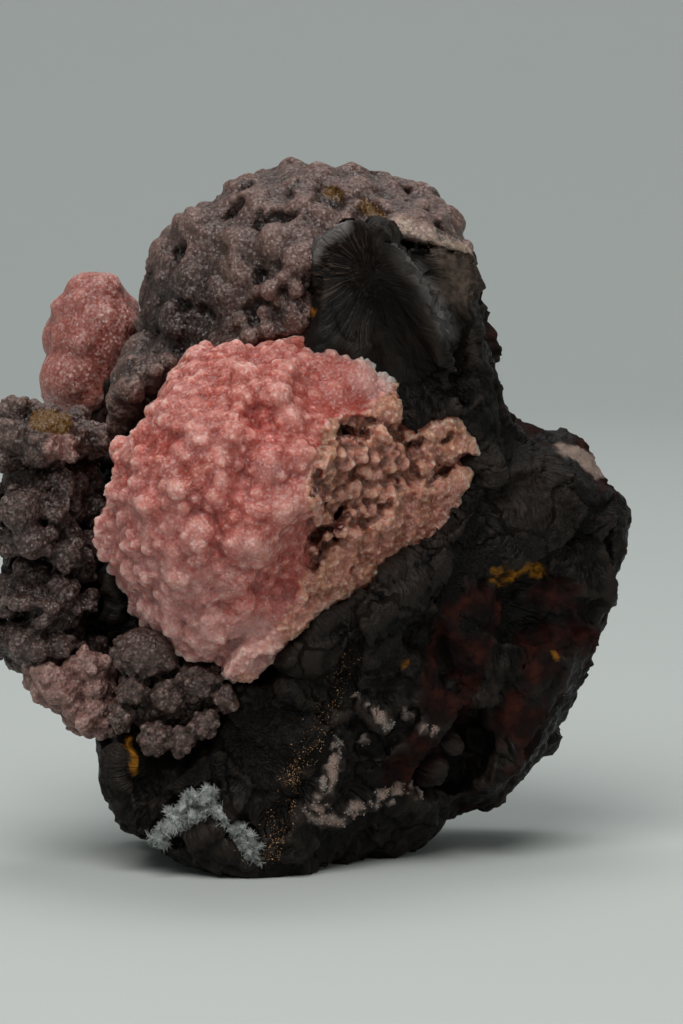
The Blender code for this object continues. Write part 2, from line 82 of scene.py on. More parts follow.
# Places on the front as the camera sees them, as X and Z.
WHITE_RIM = ((1.6, 48.8), (4.4, 47.8), (6.2, 45.4), (7.0, 42.8), (9.2, 41.4))
SMOOTH_PATCH = (1.2, 44.4)
WHITE_PATCH = (4.6, 45.8)
FLAT_KNOB = (-12.7, 31.0)
TIP = (-7.0, 20.2)
TIP_END = (-7.4, 17.0)
LOWER_LIP = ((-3.6, 17.6), (-1.0, 20.0), (1.6, 22.2))

# Deep pink hollows and large knobs on the ball, as X, Z and radius.
BLUSHES = (
    (-7.0, 42.0, 2.0), (-6.0, 39.2, 2.2), (-15.9, 39.7, 2.2), (-8.6, 34.4, 2.6), (-17.8, 34.4, 1.8),
    (-10.2, 29.4, 2.0), (-7.3, 25.6, 2.2), (-4.8, 24.9, 1.8),
)
LARGE_KNOBS = (
    (-7.2, 29.1, 2.5), (-15.5, 31.8, 1.7), (-12.7, 31.0, 1.3), (-14.6, 34.8, 1.6), (-6.0, 37.3, 2.3),
    (-18.4, 33.2, 2.0), (-10.5, 36.0, 1.7), (-3.5, 42.0, 1.7), (-7.4, 40.3, 1.1), (-13.3, 25.9, 2.2),
    (-15.9, 27.5, 1.8), (-4.1, 33.5, 2.3), (-9.8, 25.4, 1.7),
)

# Lobes that swell out of the ball at its upper right: centre, radii, turn about Y in degrees.
PINK_SWELLS = (
    ((1.4, -8.2, 44.6), (3.8, 3.6, 3.7), 0),
    ((4.0, -7.4, 43.8), (2.5, 3.0, 3.0), 0),
    ((-6.2, -7.0, 45.0), (6.0, 5.0, 4.5), 0),
    ((-1.4, -7.8, 45.2), (4.0, 4.0, 3.9), 0),
)

# The edge of the pink skin beside the broken section, as Z and X going up. The section lies on its right.
BROKEN_EDGE = (
    (17.0, -8.9), (19.4, -7.1), (20.8, -5.9), (22.7, -4.3), (24.6, -3.1), (26.0, -3.0), (27.7, -2.2),
    (29.4, -2.0), (31.3, -1.6), (33.0, -2.0), (35.1, -2.5), (37.0, -2.0), (38.8, -1.3), (40.0, -0.8),
    (41.3, -0.6), (41.9, 0.2), (42.2, 2.6), (42.6, 3.6), (43.7, 4.6), (44.6, 5.5), (45.6, 6.0), (46.5, 40.0),
)

# The section's bed of small knobs, and the line along its foot.
CLUSTER = (
    (2.4, 40.2), (5.6, 39.6), (7.4, 37.4), (4.6, 36.2), (2.0, 37.6), (0.8, 34.6), (4.0, 33.8), (2.2, 33.2),
)
SECTION_FOOT = ((14.0, 37.0), (12.8, 33.4), (9.9, 29.2), (6.7, 25.8), (3.0, 23.0), (-2.8, 19.8))

# Cavities in the section, as lines on its front with a half width and a depth.
CAVITIES = (
    (((-1.6, 30.4), (-0.2, 31.2), (1.8, 32.4)), 0.3, 2.4),
    (((-1.6, 28.0), (-1.0, 29.8)), 0.5, 1.3),
    (((-1.5, 35.0), (-1.2, 36.0)), 0.2, 1.6),
    (((1.2, 40.2), (2.2, 40.6), (3.6, 40.3)), 0.2, 1.8),
    (((9.2, 35.8), (10.2, 37.0), (11.0, 37.5)), 0.3, 1.4),
    (((12.3, 37.8), (13.2, 38.0)), 0.25, 2.0),
    (((7.4, 38.4), (8.4, 39.6)), 0.25, 1.2),
    (((10.6, 39.4), (11.4, 39.9)), 0.2, 0.9),
    (((3.2, 31.6), (3.8, 32.4)), 0.2, 0.9),
    (((5.0, 33.6), (5.6, 33.9)), 0.2, 0.8),
)

# Heights of the clefts between the left crust's ledges, and its brown and rosy places.
LEFT_CLEFTS = (36.9, 32.0, 27.6, 23.1)
LEFT_STAIN = ((-27.6, 41.8), (-25.6, 41.5))
LEFT_BLUSH = (-25.6, 39.0)

# The dome: the edge of its crust where rock shows under it, brown films in its furrows, small knobs low on
# its front, and the shaded place behind the ball.
DOME_RIM = ((4.3, 60.0), (6.7, 60.3), (8.6, 59.7), (10.5, 58.7), (12.4, 57.8), (13.6, 56.6))
DOME_FILMS = (((3.2, 62.3), (5.0, 60.7)), ((-0.2, 63.6), (0.8, 63.2)))
DOME_BEADS = ((-7.6, 50.6), (-5.0, 52.6), (-3.2, 54.2))
DOME_SHADE = (-14.4, 52.4)

# Round beads in the hollow: centre, radii, turn about Y in degrees. The last two are the others' bed.
BEADS = (
    ((-17.0, -10.6, 20.9), (3.2, 3.0, 2.5), 0),
    ((-18.2, -11.4, 17.4), (1.6, 1.6, 1.5), 0),
    ((-15.0, -11.8, 16.9), (1.6, 1.6, 1.6), 0),
    ((-12.2, -11.4, 18.2), (2.3, 1.8, 1.7), -15),
    ((-19.4, -11.0, 14.8), (1.2, 1.3, 1.6), 0),
    ((-16.2, -12.0, 12.9), (1.7, 1.7, 1.7), 0),
    ((-13.8, -12.2, 12.7), (1.3, 1.5, 1.3), 0),
    ((-11.6, -12.2, 14.4), (1.6, 1.5, 1.3), -30),
    ((-9.6, -12.0, 16.6), (1.2, 1.3, 1.4), 0),
    ((-14.6, -8.6, 16.6), (4.6, 2.6, 3.7), 0),
    ((-17.4, -8.8, 16.6), (1.9, 2.2, 3.2), 0),
)
MAIN_BEAD = (-17.0, 20.9)

# Small growths on the rock's front: pale crystals as lines with a half width, and a band of needles.
PALE_STREAKS = (
    (((1.2, 11.4), (0.5, 9.4), (-0.8, 5.8)), 0.35),
    (((-1.6, 4.4), (0.5, 3.9), (2.5, 4.6)), 0.4),
    (((4.5, 5.6), (6.2, 6.0), (7.6, 6.5)), 0.4),
    (((2.5, 15.1), (3.8, 14.0), (5.1, 13.2)), 0.2),
    (((3.0, 11.6), (3.3, 11.3)), 0.2),
    (((7.1, 14.1), (7.4, 13.7)), 0.2),
    (((9.1, 12.4), (9.8, 12.0)), 0.15),
)
COPPER_BAND = ((2.0, 18.5), (0.0, 14.5), (-2.2, 10.5), (-3.6, 7.6), (-4.8, 3.6), (-6.2, 1.0))

# Weathering of the rock: ochre, red-brown, brown and pale lines, and spots with a radius. The grey lines are
# painted highlights along ridges.
OCHRE_LINES = (
    (((15.6, 26.9), (18.4, 27.6), (20.0, 27.4)), 0.3, 0.9),
    (((-19.2, 11.4), (-18.9, 8.6)), 0.25, 0.6),
)
OCHRE_SPOTS = (((7.0, 18.6), 0.15), ((21.4, 19.4), 0.1), ((-2.0, 52.0), 0.3))
EARTHY_PLACES = (
    (((13.6, 23.6), (12.4, 20.0), (11.0, 15.6)), 1.6),
    (((21.6, 23.0), (21.0, 17.0), (18.6, 11.0)), 2.4),
    (((8.4, 10.0), (7.0, 8.6)), 1.0),
)
BROWN_LINE = ((6.0, 58.6), (9.0, 57.4), (12.6, 55.6))
BROWN_FREE = (3.4, 54.6)
BROWN_SPOT = (19.0, 35.0)
HIGHLIGHT_EDGE = ((6.4, 58.5), (9.4, 54.6), (11.4, 50.0))
HIGHLIGHT_TOP = ((-1.7, 57.4), (-0.9, 58.8), (1.4, 60.2))
SHOULDER = ((22.0, 38.9), (23.8, 38.3), (25.4, 36.9))

# Shapes of the rock: crumbly places with a radius, furrows as lines on its front with a half width and a
# depth, and the place where its edge stays under the dome's.
CRUMBLY_PLACES = (
    ((3.0, 12.0), 5.0), ((0.0, 17.5), 3.0), ((8.5, 8.0), 4.0), ((7.0, 14.5), 4.0), ((11.5, 17.0), 3.5),
)
ROCK_FURROWS = (
    (((6.9, 58.6), (9.6, 55.0), (11.8, 50.3), (12.7, 44.4)), 0.5, 2.2),
    (((10.0, 7.2), (12.4, 9.0), (14.4, 12.6)), 1.3, 3.4),
    (((8.4, 21.0), (11.0, 20.0), (13.2, 16.0)), 0.5, 1.4),
    (((15.2, 26.0), (18.6, 26.6), (22.0, 26.0)), 0.4, 1.2),
    (((2.2, 6.4), (4.6, 10.6), (7.2, 13.4)), 0.5, 1.2),
    (((-5.0, 3.2), (-2.6, 6.4)), 0.6, 1.2),
    (((9.0, 31.0), (9.6, 25.0)), 0.3, 0.7),
    (((17.6, 16.0), (19.6, 21.0)), 0.4, 0.9),
)
UNDER_DOME = (8.5, 60.3)

# The blade of fibres beside the ball: the middle they run out from, the way its face looks, its place on the
# front, and the place where its fibres stand out most and a sheen is painted brightest.
FAN_MIDDLE = (3.7, -9.0, 56.0)
FAN_NORMAL = (-0.315, -0.90, -0.29)
FAN = (5.2, 53.6)
FIBRE_AND_SHEEN_PLACE = (0.8, 56.6)

# Middles that the rest of the goethite's fibres run out from.
FIBRE_MIDDLES = (
    (10.5, -5.0, 49.0), (6.4, -6.0, 49.6), (-3.0, -9.0, 28.0), (3.5, -7.0, 32.0), (9.5, -4.0, 35.5),
    (16.0, -1.0, 38.5), (-9.0, -8.0, 21.5), (-14.5, -9.5, 11.0), (-6.0, -8.0, 13.5), (3.0, -7.0, 19.0),
    (12.0, -3.0, 26.0), (22.0, 4.0, 33.0), (12.0, 3.0, 57.0), (20.0, 14.0, 30.0), (8.0, 14.0, 40.0),
    (-4.0, 15.0, 26.0), (-14.0, 10.0, 20.0), (10.0, 12.0, 16.0), (-4.0, 8.0, 8.0),
)

# The most triangles that each of the large skins keeps.
BALL_TRIANGLES = 190000
LEDGE_TRIANGLES = 150000
DOME_TRIANGLES = 145000
ROCK_TRIANGLES = 188000

# What is painted on the carbonate skins, each as a share from 0 to 1. Among them is painted shade: a dark
# colour laid in holes, furrows and on shaded sides.
PAINTED = ("broken", "mauve", "pale", "blush", "stain", "painted_shade", "cluster")

# Kinds of node, some with their operation.
TIMES, OVER, TIMES_PLUS = "ShaderNodeMath MULTIPLY", "ShaderNodeMath DIVIDE", "ShaderNodeMath MULTIPLY_ADD"
PLUS, MINUS = "ShaderNodeMath ADD", "ShaderNodeMath SUBTRACT"
POWER, FRACTION = "ShaderNodeMath POWER", "ShaderNodeMath FRACT"
SCALED, SHIFTED = "ShaderNodeVectorMath SCALE", "ShaderNodeVectorMath ADD"
APART, DOT = "ShaderNodeVectorMath SUBTRACT", "ShaderNodeVectorMath DOT_PRODUCT"
COMBINE, NOISE, VORONOI = "ShaderNodeCombineXYZ", "ShaderNodeTexNoise", "ShaderNodeTexVoronoi"
BUMP, RAMP, PAINT = "ShaderNodeBump", "ShaderNodeValToRGB", "ShaderNodeAttribute"
RANDOM, STORED = "FunctionNodeRandomValue", "GeometryNodeInputNamedAttribute"
POSITION, NORMAL = "GeometryNodeInputPosition", "GeometryNodeInputNormal"
MOVED = "GeometryNodeSetPosition"

# About a full turn, in radians.
FULL_TURN = 6.28


def linear(colour):
    """An sRGB hex colour as linear RGBA."""
    parts = [int(colour[i:i + 2], 16) / 255 for i in (0, 2, 4)]
    return (*[c / 12.92 if c <= 0.04045 else ((c + 0.055) / 1.055) ** 2.4 for c in parts], 1.0)


def feed(tree, node, inputs):
    """Sets or links inputs of a node, given by name or in their order."""
    for key, value in inputs.items() if isinstance(inputs, dict) else enumerate(inputs):
        if isinstance(value, bpy.types.NodeSocket):
            tree.links.new(value, node.inputs[key])
        else:
            node.inputs[key].default_value = value


def add(tree, kind, inputs=(), out=0, stops=(), **settings):
    """Adds a node with its operation, settings, colour stops and inputs, and hands back one of its outputs.

    The kind is the node's type, and after a space its operation, if it has one.
    """
    kind, *operation = kind.split()
    made = tree.nodes.new(kind)
    if operation:
        made.operation = operation[0]
    for name, value in settings.items():
        setattr(made, name, value)
    for place, colour in stops[1:-1]:
        made.color_ramp.elements.new(place)
    for i, (place, colour) in enumerate(stops):
        stop = made.color_ramp.elements[i]
        stop.position = place
        stop.color = linear(colour) if isinstance(colour, str) else (colour, colour, colour, 1.0)
    feed(tree, made, inputs)
    return made.outputs[out] if made.outputs else None


# Meshes

def as_object(data, name):
    obj = bpy.data.objects.new(name, data)
    bpy.context.scene.collection.objects.link(obj)
    return obj


def bake(obj):
    """Turns an object's modifiers into its plain mesh."""
    bpy.context.view_layer.update()
    graph = bpy.context.evaluated_depsgraph_get()
    made = bpy.data.meshes.new_from_object(obj.evaluated_get(graph))
    old = obj.data
    obj.modifiers.clear()
    obj.data = made
    bpy.data.meshes.remove(old)
    return obj


def merged_copy(node, name):
    """A new object with a solid's mesh, its loose triangles joined."""
    mesh = bpy.data.meshes.new(name)
    bm = bmesh.new()
    bm.from_mesh(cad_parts[node].data)
    bmesh.ops.remove_doubles(bm, verts=bm.verts, dist=0.001 * MM)
    bm.to_mesh(mesh)
    bm.free()
    return as_object(mesh, name)


def reskin(obj, voxel, smoothing):
    """Fuses everything in the object into one even skin, and smooths it."""
    skin = obj.modifiers.new("skin", "REMESH")
    skin.mode = "VOXEL"
    skin.voxel_size = voxel * MM
    skin.use_smooth_shade = True
    even = obj.modifiers.new("even", "SMOOTH")
    even.factor = 0.5
    even.iterations = smoothing
    return bake(obj)


def with_lumps(obj, rows):
    """Adds ellipsoids to a mesh: centre, radii and turn about Y in degrees."""
    bm = bmesh.new()
    bm.from_mesh(obj.data)
    for centre, radii, turn in rows:
        place = Matrix.Translation(Vector(centre) * MM) @ Matrix.Rotation(math.radians(turn), 4, "Y")
        size = Matrix.Diagonal((*(Vector(radii) * MM), 1.0))
        bmesh.ops.create_icosphere(bm, subdivisions=4, radius=1.0, matrix=place @ size)
    bm.to_mesh(obj.data)
    bm.free()
    return obj


def points_of(obj):
    """The vertices in millimetres."""
    flat = np.empty(len(obj.data.vertices) * 3)
    obj.data.vertices.foreach_get("co", flat)
    return flat.reshape(-1, 3) / MM


def normals_of(obj):
    flat = np.empty(len(obj.data.vertices) * 3)
    obj.data.vertex_normals.foreach_get("vector", flat)
    return flat.reshape(-1, 3)


def move_to(obj, points):
    """Places the vertices, kept inside the solid model's box."""
    low, high = (np.array(corner) / MM for corner in cad_box)
    margin = 0.01
    obj.data.vertices.foreach_set("co", (np.clip(points, low + margin, high - margin) * MM).ravel())
    obj.data.update()


def sunk(obj, depth):
    """Moves the skin in, to leave room for what grows on it."""
    move_to(obj, points_of(obj) - normals_of(obj) * depth)
    return obj


def shade_flat(obj):
    """Shades each face flat, so that crystal faces catch the light one by one."""
    obj.data.polygons.foreach_set("use_smooth", [False] * len(obj.data.polygons))
    return obj


def lighten(obj, triangles, unseen):
    """Thins a skin out, most of all where it is unseen."""
    count = sum(len(face.vertices) - 2 for face in obj.data.polygons)
    group = obj.vertex_groups.new(name="unseen")
    steps = 4
    levels = np.round(unseen * steps).astype(int)
    for level in range(steps + 1):
        group.add([int(i) for i in np.nonzero(levels == level)[0]], level / steps, "REPLACE")
    thin = obj.modifiers.new("thin", "DECIMATE")
    thin.ratio = triangles / count
    thin.vertex_group = "unseen"
    thin.vertex_group_factor = 4.0
    return shade_flat(bake(obj))


def store(obj, marks):
    """Keeps values or vectors with the vertices, under their names."""
    for name, values in marks.items():
        vectors = values.ndim == 2
        made = obj.data.attributes.new(name, "FLOAT_VECTOR" if vectors else "FLOAT", "POINT")
        made.data.foreach_set("vector" if vectors else "value", values.astype(np.float32).ravel())


# Marks by place

def ease(values, low, high):
    """0 below low, 1 above high, and smooth between them."""
    share = np.clip((values - low) / (high - low), 0, 1)
    return share * share * (3 - 2 * share)


def unit(direction):
    return np.array(Vector(direction).normalized())


def fuzz(points, size, shift=0.0):
    """Soft noise about 0 with features of this size."""
    return np.array([noise.fractal(p, 1.0, 2.0, 3) for p in points / size + shift])


def drift(points, size, shifts):
    """Soft noise as a vector."""
    return np.stack([fuzz(points, size, shift) for shift in shifts], axis=1)


def seen(points):
    """Where the points are on the front, as X and Z, for an eye at the camera."""
    x, y, z = (points - np.array(AIM)).T
    up = z * math.cos(ELEVATION) + y * math.sin(ELEVATION)
    beyond = y * math.cos(ELEVATION) - z * math.sin(ELEVATION)
    share = DISTANCE / (DISTANCE + beyond)
    return np.stack([AIM[0] + x * share, AIM[2] + up * share], axis=1)


def spot(points, middle, radius, soft=1.0):
    """1 near a place on the front."""
    apart = np.linalg.norm(seen(points) - np.array(middle), axis=1)
    return 1 - ease(apart, radius, radius + soft)


def stroke(points, line, radius, soft=1.0):
    """1 near a line of places on the front."""
    found = np.zeros(len(points))
    flat = seen(points)
    for a, b in zip(line, line[1:]):
        a, b = np.array(a), np.array(b)
        share = np.clip(((flat - a) @ (b - a)) / ((b - a) @ (b - a)), 0, 1)
        apart = np.linalg.norm(flat - (a + share[:, None] * (b - a)), axis=1)
        found = np.maximum(found, 1 - ease(apart, radius, radius + soft))
    return found


def ahead(points, low, high):
    """1 on the front: how far forward that starts, and where it is full."""
    return ease(-points[:, 1], low, high)


def most(found):
    """The largest of several marks at each point."""
    return np.max(list(found), axis=0)


# Geometry Nodes

def new_tree(name, numbers, strews=False):
    """A tree from mesh to mesh. It takes these numbers, a material and, where it strews, room and a seed."""
    tree = bpy.data.node_groups.new(name, "GeometryNodeTree")
    labels = [("Mesh", "Geometry"), *((label, "Float") for label in numbers), ("Material", "Material")]
    if strews:
        labels += [("Room", "String"), ("Seed", "Int")]
    for label, kind in labels:
        tree.interface.new_socket(label, in_out="INPUT", socket_type="NodeSocket" + kind)
    tree.interface.new_socket("Mesh", in_out="OUTPUT", socket_type="NodeSocketGeometry")
    return tree, add(tree, "NodeGroupInput").node.outputs


def end_tree(tree, mesh, material):
    real = add(tree, "GeometryNodeRealizeInstances", {"Geometry": mesh})
    done = add(tree, "GeometryNodeSetMaterial", {"Geometry": real, "Material": material})
    add(tree, "NodeGroupOutput", (done,))
    return tree


def run_tree(obj, tree, sizes, values):
    """Adds the tree to an object and sets its inputs by identifier: sizes in millimetres, and other values."""
    made = obj.modifiers.new(tree.name, "NODES")
    made.node_group = tree
    values = {**{name: size * MM for name, size in sizes.items()}, **values}
    for item in tree.interface.items_tree:
        if item.in_out == "INPUT" and item.name in values:
            made[item.identifier] = values[item.name]


def strewn_places(tree, given):
    """Places at random over a skin, as many as its attribute for the room lets."""
    room = add(tree, STORED, {"Name": given["Room"]}, data_type="FLOAT")
    area = add(tree, TIMES, (given["Spacing"], given["Spacing"]))
    density = add(tree, OVER, (3.0, area))
    return add(tree, "GeometryNodeDistributePointsOnFaces", {
        "Mesh": given["Mesh"], "Distance Min": given["Spacing"], "Density Max": density,
        "Density Factor": room, "Seed": given["Seed"],
    }, distribute_method="POISSON").node.outputs


def knob_tree():
    """Rounded knobs over a skin."""
    tree, given = new_tree("knobs", ("Spacing", "Smallest", "Largest", "Sunk"), strews=True)
    places = strewn_places(tree, given)
    radius = add(tree, RANDOM, {
        2: given["Smallest"], 3: given["Largest"], "Seed": given["Seed"],
    }, out=1, data_type="FLOAT")
    depth = add(tree, TIMES, (radius, given["Sunk"]))
    inwards = add(tree, TIMES, (depth, -1.0))
    step = add(tree, SCALED, {0: places["Normal"], "Scale": inwards})
    lowered = add(tree, MOVED, {"Geometry": places["Points"], "Offset": step})
    uneven = add(tree, RANDOM, {0: (0.84,) * 3, 1: (1.16,) * 3, "Seed": 3}, data_type="FLOAT_VECTOR")
    size = add(tree, SCALED, {0: uneven, "Scale": radius})
    turn = add(tree, RANDOM, {0: (0.0,) * 3, 1: (FULL_TURN,) * 3, "Seed": 5}, data_type="FLOAT_VECTOR")
    ball = add(tree, "GeometryNodeMeshIcoSphere", {"Radius": 1.0, "Subdivisions": 3})
    copies = add(tree, "GeometryNodeInstanceOnPoints", {
        "Points": lowered, "Instance": ball, "Rotation": turn, "Scale": size,
    })
    both = add(tree, "GeometryNodeJoinGeometry", (given["Mesh"],))
    tree.links.new(copies, both.node.inputs[0])
    return end_tree(tree, both, given["Material"])


def needle_tree():
    """Thin pointed needles over a skin, each leaning its own way."""
    numbers = ("Spacing", "Shortest", "Longest", "Thickness", "Tip", "Lean")
    tree, given = new_tree("needles", numbers, strews=True)
    places = strewn_places(tree, given)
    back = add(tree, TIMES, (given["Lean"], -1.0))
    low = add(tree, COMBINE, (back, back, 0.0))
    high = add(tree, COMBINE, (given["Lean"], given["Lean"], FULL_TURN))
    tilt = add(tree, RANDOM, {0: low, 1: high, "Seed": given["Seed"]}, data_type="FLOAT_VECTOR")
    turned = add(tree, "FunctionNodeRotateRotation", {
        "Rotation": places["Rotation"], "Rotate By": tilt,
    }, rotation_space="LOCAL")
    length = add(tree, RANDOM, {
        2: given["Shortest"], 3: given["Longest"], "Seed": given["Seed"],
    }, out=1, data_type="FLOAT")
    size = add(tree, COMBINE, (given["Thickness"], given["Thickness"], length))
    needle = add(tree, "GeometryNodeMeshCone", {
        "Vertices": 5, "Radius Top": given["Tip"], "Radius Bottom": 1.0, "Depth": 1.0,
    }, out="Mesh")
    copies = add(tree, "GeometryNodeInstanceOnPoints", {
        "Points": places["Points"], "Instance": needle, "Rotation": turned, "Scale": size,
    })
    return end_tree(tree, copies, given["Material"])


def cell_place(tree, size, shift):
    """The position, scaled so that cells are of this size, and shifted so that no two patterns line up."""
    place = add(tree, POSITION)
    often = add(tree, OVER, (1.0, size))
    scaled = add(tree, SCALED, {0: place, "Scale": often})
    return add(tree, SHIFTED, (scaled, (shift, shift * 2, shift * 3)))


def rounded_cells(tree, size, height, mask, power, shift):
    """Rounded cells of one size as a height: raised in the middle of each, with a groove between them."""
    place = cell_place(tree, size, shift)
    cells = add(tree, VORONOI, {"Vector": place, "Scale": 1.0, "Randomness": 1.0}, out="Distance")
    curved = add(tree, POWER, (cells, power))
    risen = add(tree, MINUS, (0.3, curved))
    tall = add(tree, TIMES, (risen, height))
    where = add(tree, STORED, {"Name": mask}, data_type="FLOAT")
    return add(tree, TIMES, (tall, where))


def tilted_cells(tree, place):
    """Flat faces, each tilted its own way, as a height."""
    cells = add(tree, VORONOI, {"Vector": place, "Scale": 1.0, "Randomness": 1.0}).node.outputs
    within = add(tree, APART, (place, cells["Position"]))
    lean = add(tree, APART, (cells["Color"], (0.5, 0.5, 0.5)))
    return add(tree, DOT, (within, lean), out="Value")


def displaced(tree, mesh, height):
    """Moves the skin out along its normals."""
    offset = add(tree, SCALED, {0: add(tree, NORMAL), "Scale": height})
    return add(tree, MOVED, {"Geometry": mesh, "Offset": offset})


def mark_crests(tree, mesh, steps, name):
    """Stores how far each point stands out of the skin round it, in millimetres."""
    place = add(tree, POSITION)
    mean = add(tree, "GeometryNodeBlurAttribute", {
        "Value": place, "Iterations": steps,
    }, data_type="FLOAT_VECTOR")
    apart = add(tree, APART, (place, mean))
    height = add(tree, DOT, (apart, add(tree, NORMAL)), out="Value")
    crest = add(tree, TIMES, (height, 1 / MM))
    return add(tree, "GeometryNodeStoreNamedAttribute", {
        "Geometry": mesh, "Name": name, "Value": crest,
    }, data_type="FLOAT", domain="POINT")


def crystal_tree():
    """A sugary skin: small knobs, and crystals over them."""
    tree, given = new_tree("crystals", ("Knob size", "Knob height", "Crystal size", "Crystal height"))
    knobs = rounded_cells(tree, given["Knob size"], given["Knob height"], "knobby", 2.0, 1.7)
    raised = displaced(tree, given["Mesh"], knobs)
    marked = mark_crests(tree, mark_crests(tree, raised, 24, "crest"), 200, "lobe")
    crystals = rounded_cells(tree, given["Crystal size"], given["Crystal height"], "gritty", 1.0, 5.1)
    return end_tree(tree, displaced(tree, marked, crystals), given["Material"])


def rock_tree():
    """Broken rock: large and small faces, ledges across its fibres, crumbly places, and ridges along them."""
    tree, given = new_tree("broken_rock", (
        "Block size", "Block height", "Chip size", "Chip height", "Crumb size", "Crumb height", "Ledge",
        "Ledge height", "Fibres", "Fibre height",
    ))
    uneven, reach, loose, fibrous = (
        add(tree, STORED, {"Name": name}, data_type="FLOAT")
        for name in ("broken", "reach", "crumbly", "fibrous")
    )
    place = add(tree, POSITION)
    blocks, chips = (
        add(tree, TIMES, (
            tilted_cells(tree, cell_place(tree, given[f"{part} size"], shift)), given[f"{part} height"],
        ))
        for part, shift in (("Block", 2.3), ("Chip", 7.9))
    )
    sway = add(tree, NOISE, {"Vector": place, "Scale": 1 / (4.0 * MM), "Detail": 2.0})
    shells = add(tree, OVER, (reach, given["Ledge"]))
    swayed = add(tree, TIMES_PLUS, (sway, 3.0, shells))
    saw = add(tree, FRACTION, (swayed,))
    ledges = add(tree, TIMES, (saw, given["Ledge height"]))
    faces = add(tree, PLUS, (blocks, chips))
    stepped = add(tree, PLUS, (faces, ledges))
    often = add(tree, OVER, (1.0, given["Crumb size"]))
    crumbs = add(tree, NOISE, {"Vector": place, "Scale": often, "Detail": 6.0, "Roughness": 0.68})
    centred = add(tree, MINUS, (crumbs, 0.5))
    jagged = add(tree, TIMES, (centred, given["Crumb height"]))
    crumbled = add(tree, TIMES_PLUS, (jagged, loose, stepped))
    rough = add(tree, TIMES, (crumbled, uneven))
    broken = displaced(tree, given["Mesh"], rough)
    ray = add(tree, STORED, {"Name": "ray"}, data_type="FLOAT_VECTOR")
    fine = add(tree, SCALED, {0: ray, "Scale": given["Fibres"]})
    strands = add(tree, NOISE, {"Vector": fine, "Scale": 1.0, "Detail": 2.0})
    middle = add(tree, MINUS, (strands, 0.5))
    height = add(tree, TIMES, (middle, given["Fibre height"]))
    ridges = add(tree, TIMES, (height, fibrous))
    ridged = displaced(tree, broken, ridges)
    return end_tree(tree, mark_crests(tree, ridged, 16, "crest"), given["Material"])


# Materials

def new_material(name):
    """A material with its node tree and its shader."""
    made = bpy.data.materials.new(name)
    made.use_nodes = True
    return made, made.node_tree, made.node_tree.nodes["Principled BSDF"]


def layered(tree, colour, coats):
    """A colour under coats: the share that each covers, and its colour."""
    for share, coat in coats:
        colour = add(tree, "ShaderNodeMix", {0: share, 6: colour, 7: coat}, out=2, data_type="RGBA")
    return colour


def carbonate(name, tones, stain, shade_colour, glow, depth, roughness, painted_glint_share):
    """Rhodochrosite, a manganese carbonate grown as a sugar of tiny crystals.

    The eye sees a waxy translucence, deepest in the furrows, and pin-point glints off the crystal faces. The
    colour paints part of this light: painted shade and a painted deep-red glow in the furrows, crests painted
    paler, and painted glints as whitish flecks.
    """
    made, tree, shader = new_material(name)
    place = add(tree, "ShaderNodeTexCoord", out="Object")
    marks = {mark: add(tree, PAINT, out="Fac", attribute_name=mark) for mark in ("crest", "lobe", *PAINTED)}
    blotches, grains, warmth = (
        add(tree, NOISE, {"Vector": place, "Scale": 1 / (size * MM), "Detail": detail})
        for size, detail in ((4.0, 4.0), (0.5, 3.0), (2.6, 2.0))
    )
    # Height over the furrows, from far lobes, near knobs and a little wander. The tones follow it: painted
    # shade darkens the furrows and the crests are painted paler, as if lit.
    broad = add(tree, TIMES_PLUS, (marks["lobe"], 0.45, 0.5))
    lifted = add(tree, TIMES_PLUS, (marks["crest"], 0.8, broad))
    wander = add(tree, TIMES_PLUS, (grains, 0.3, -0.15))
    height = add(tree, PLUS, (lifted, wander), use_clamp=True)
    tone = {part: add(tree, RAMP, (height,), stops=stops) for part, stops in tones.items()}
    patch = add(tree, RAMP, (blotches,), stops=((0.35, 0.0), (0.65, 1.0)))
    soft = add(tree, TIMES, (patch, 0.35))
    warm = add(tree, RAMP, (warmth,), stops=((0.4, 0.0), (0.6, 1.0)))
    # Painted shade: a brown laid in the furrows between the section's small knobs.
    steep = add(tree, TIMES_PLUS, (marks["crest"], -5.0, 0.35), use_clamp=True)
    crevice_shade = add(tree, TIMES, (steep, marks["cluster"]))
    # Painted glints: whitish flecks on single crystal cells, strongest on the crests.
    cells = add(tree, VORONOI, {"Vector": place, "Scale": 1 / (0.22 * MM)}, out="Color")
    painted_glint_cells = add(tree, RAMP, (cells,), stops=((0.6, 0.0), (0.8, painted_glint_share)))
    painted_glints = add(tree, TIMES, (height, painted_glint_cells))
    colour = layered(tree, tone["body"], (
        (marks["blush"], tone["blush"]),
        (marks["mauve"], tone["mauve"]),
        (soft, tone["mauve"]),
        (marks["pale"], linear("D9C3BC")),
        (marks["broken"], layered(tree, tone["broken"], ((warm, tone["rosy"]),))),
        # Painted shade in the furrows of the section's knob bed.
        (crevice_shade, linear("7A4836")),
        # Painted shade: a dark colour wherever the skin is marked as shaded.
        (marks["painted_shade"], linear(shade_colour)),
        # Painted glints as whitish flecks.
        (painted_glints, linear("F0DAD4")),
        (marks["stain"], linear(stain)),
    ))
    sugar = add(tree, SCALED, {0: place, "Scale": 1 / (0.24 * MM)})
    glints = add(tree, BUMP, {"Strength": 1.0, "Distance": 0.24 * MM, "Height": tilted_cells(tree, sugar)})
    grit = add(tree, BUMP, {"Strength": 0.5, "Distance": 0.12 * MM, "Height": grains, "Normal": glints})
    smoothest, roughest = roughness
    feed(tree, shader, {
        "Base Color": colour,
        "Normal": grit,
        "Roughness": add(tree, RAMP, (grains,), stops=((0.3, smoothest), (0.7, roughest))),
        "IOR": 1.65,
        "Specular IOR Level": 0.3,
        "Subsurface Weight": glow,
        "Subsurface Radius": (1.0, 0.34, 0.26),
        "Subsurface Scale": depth * MM,
    })
    return made


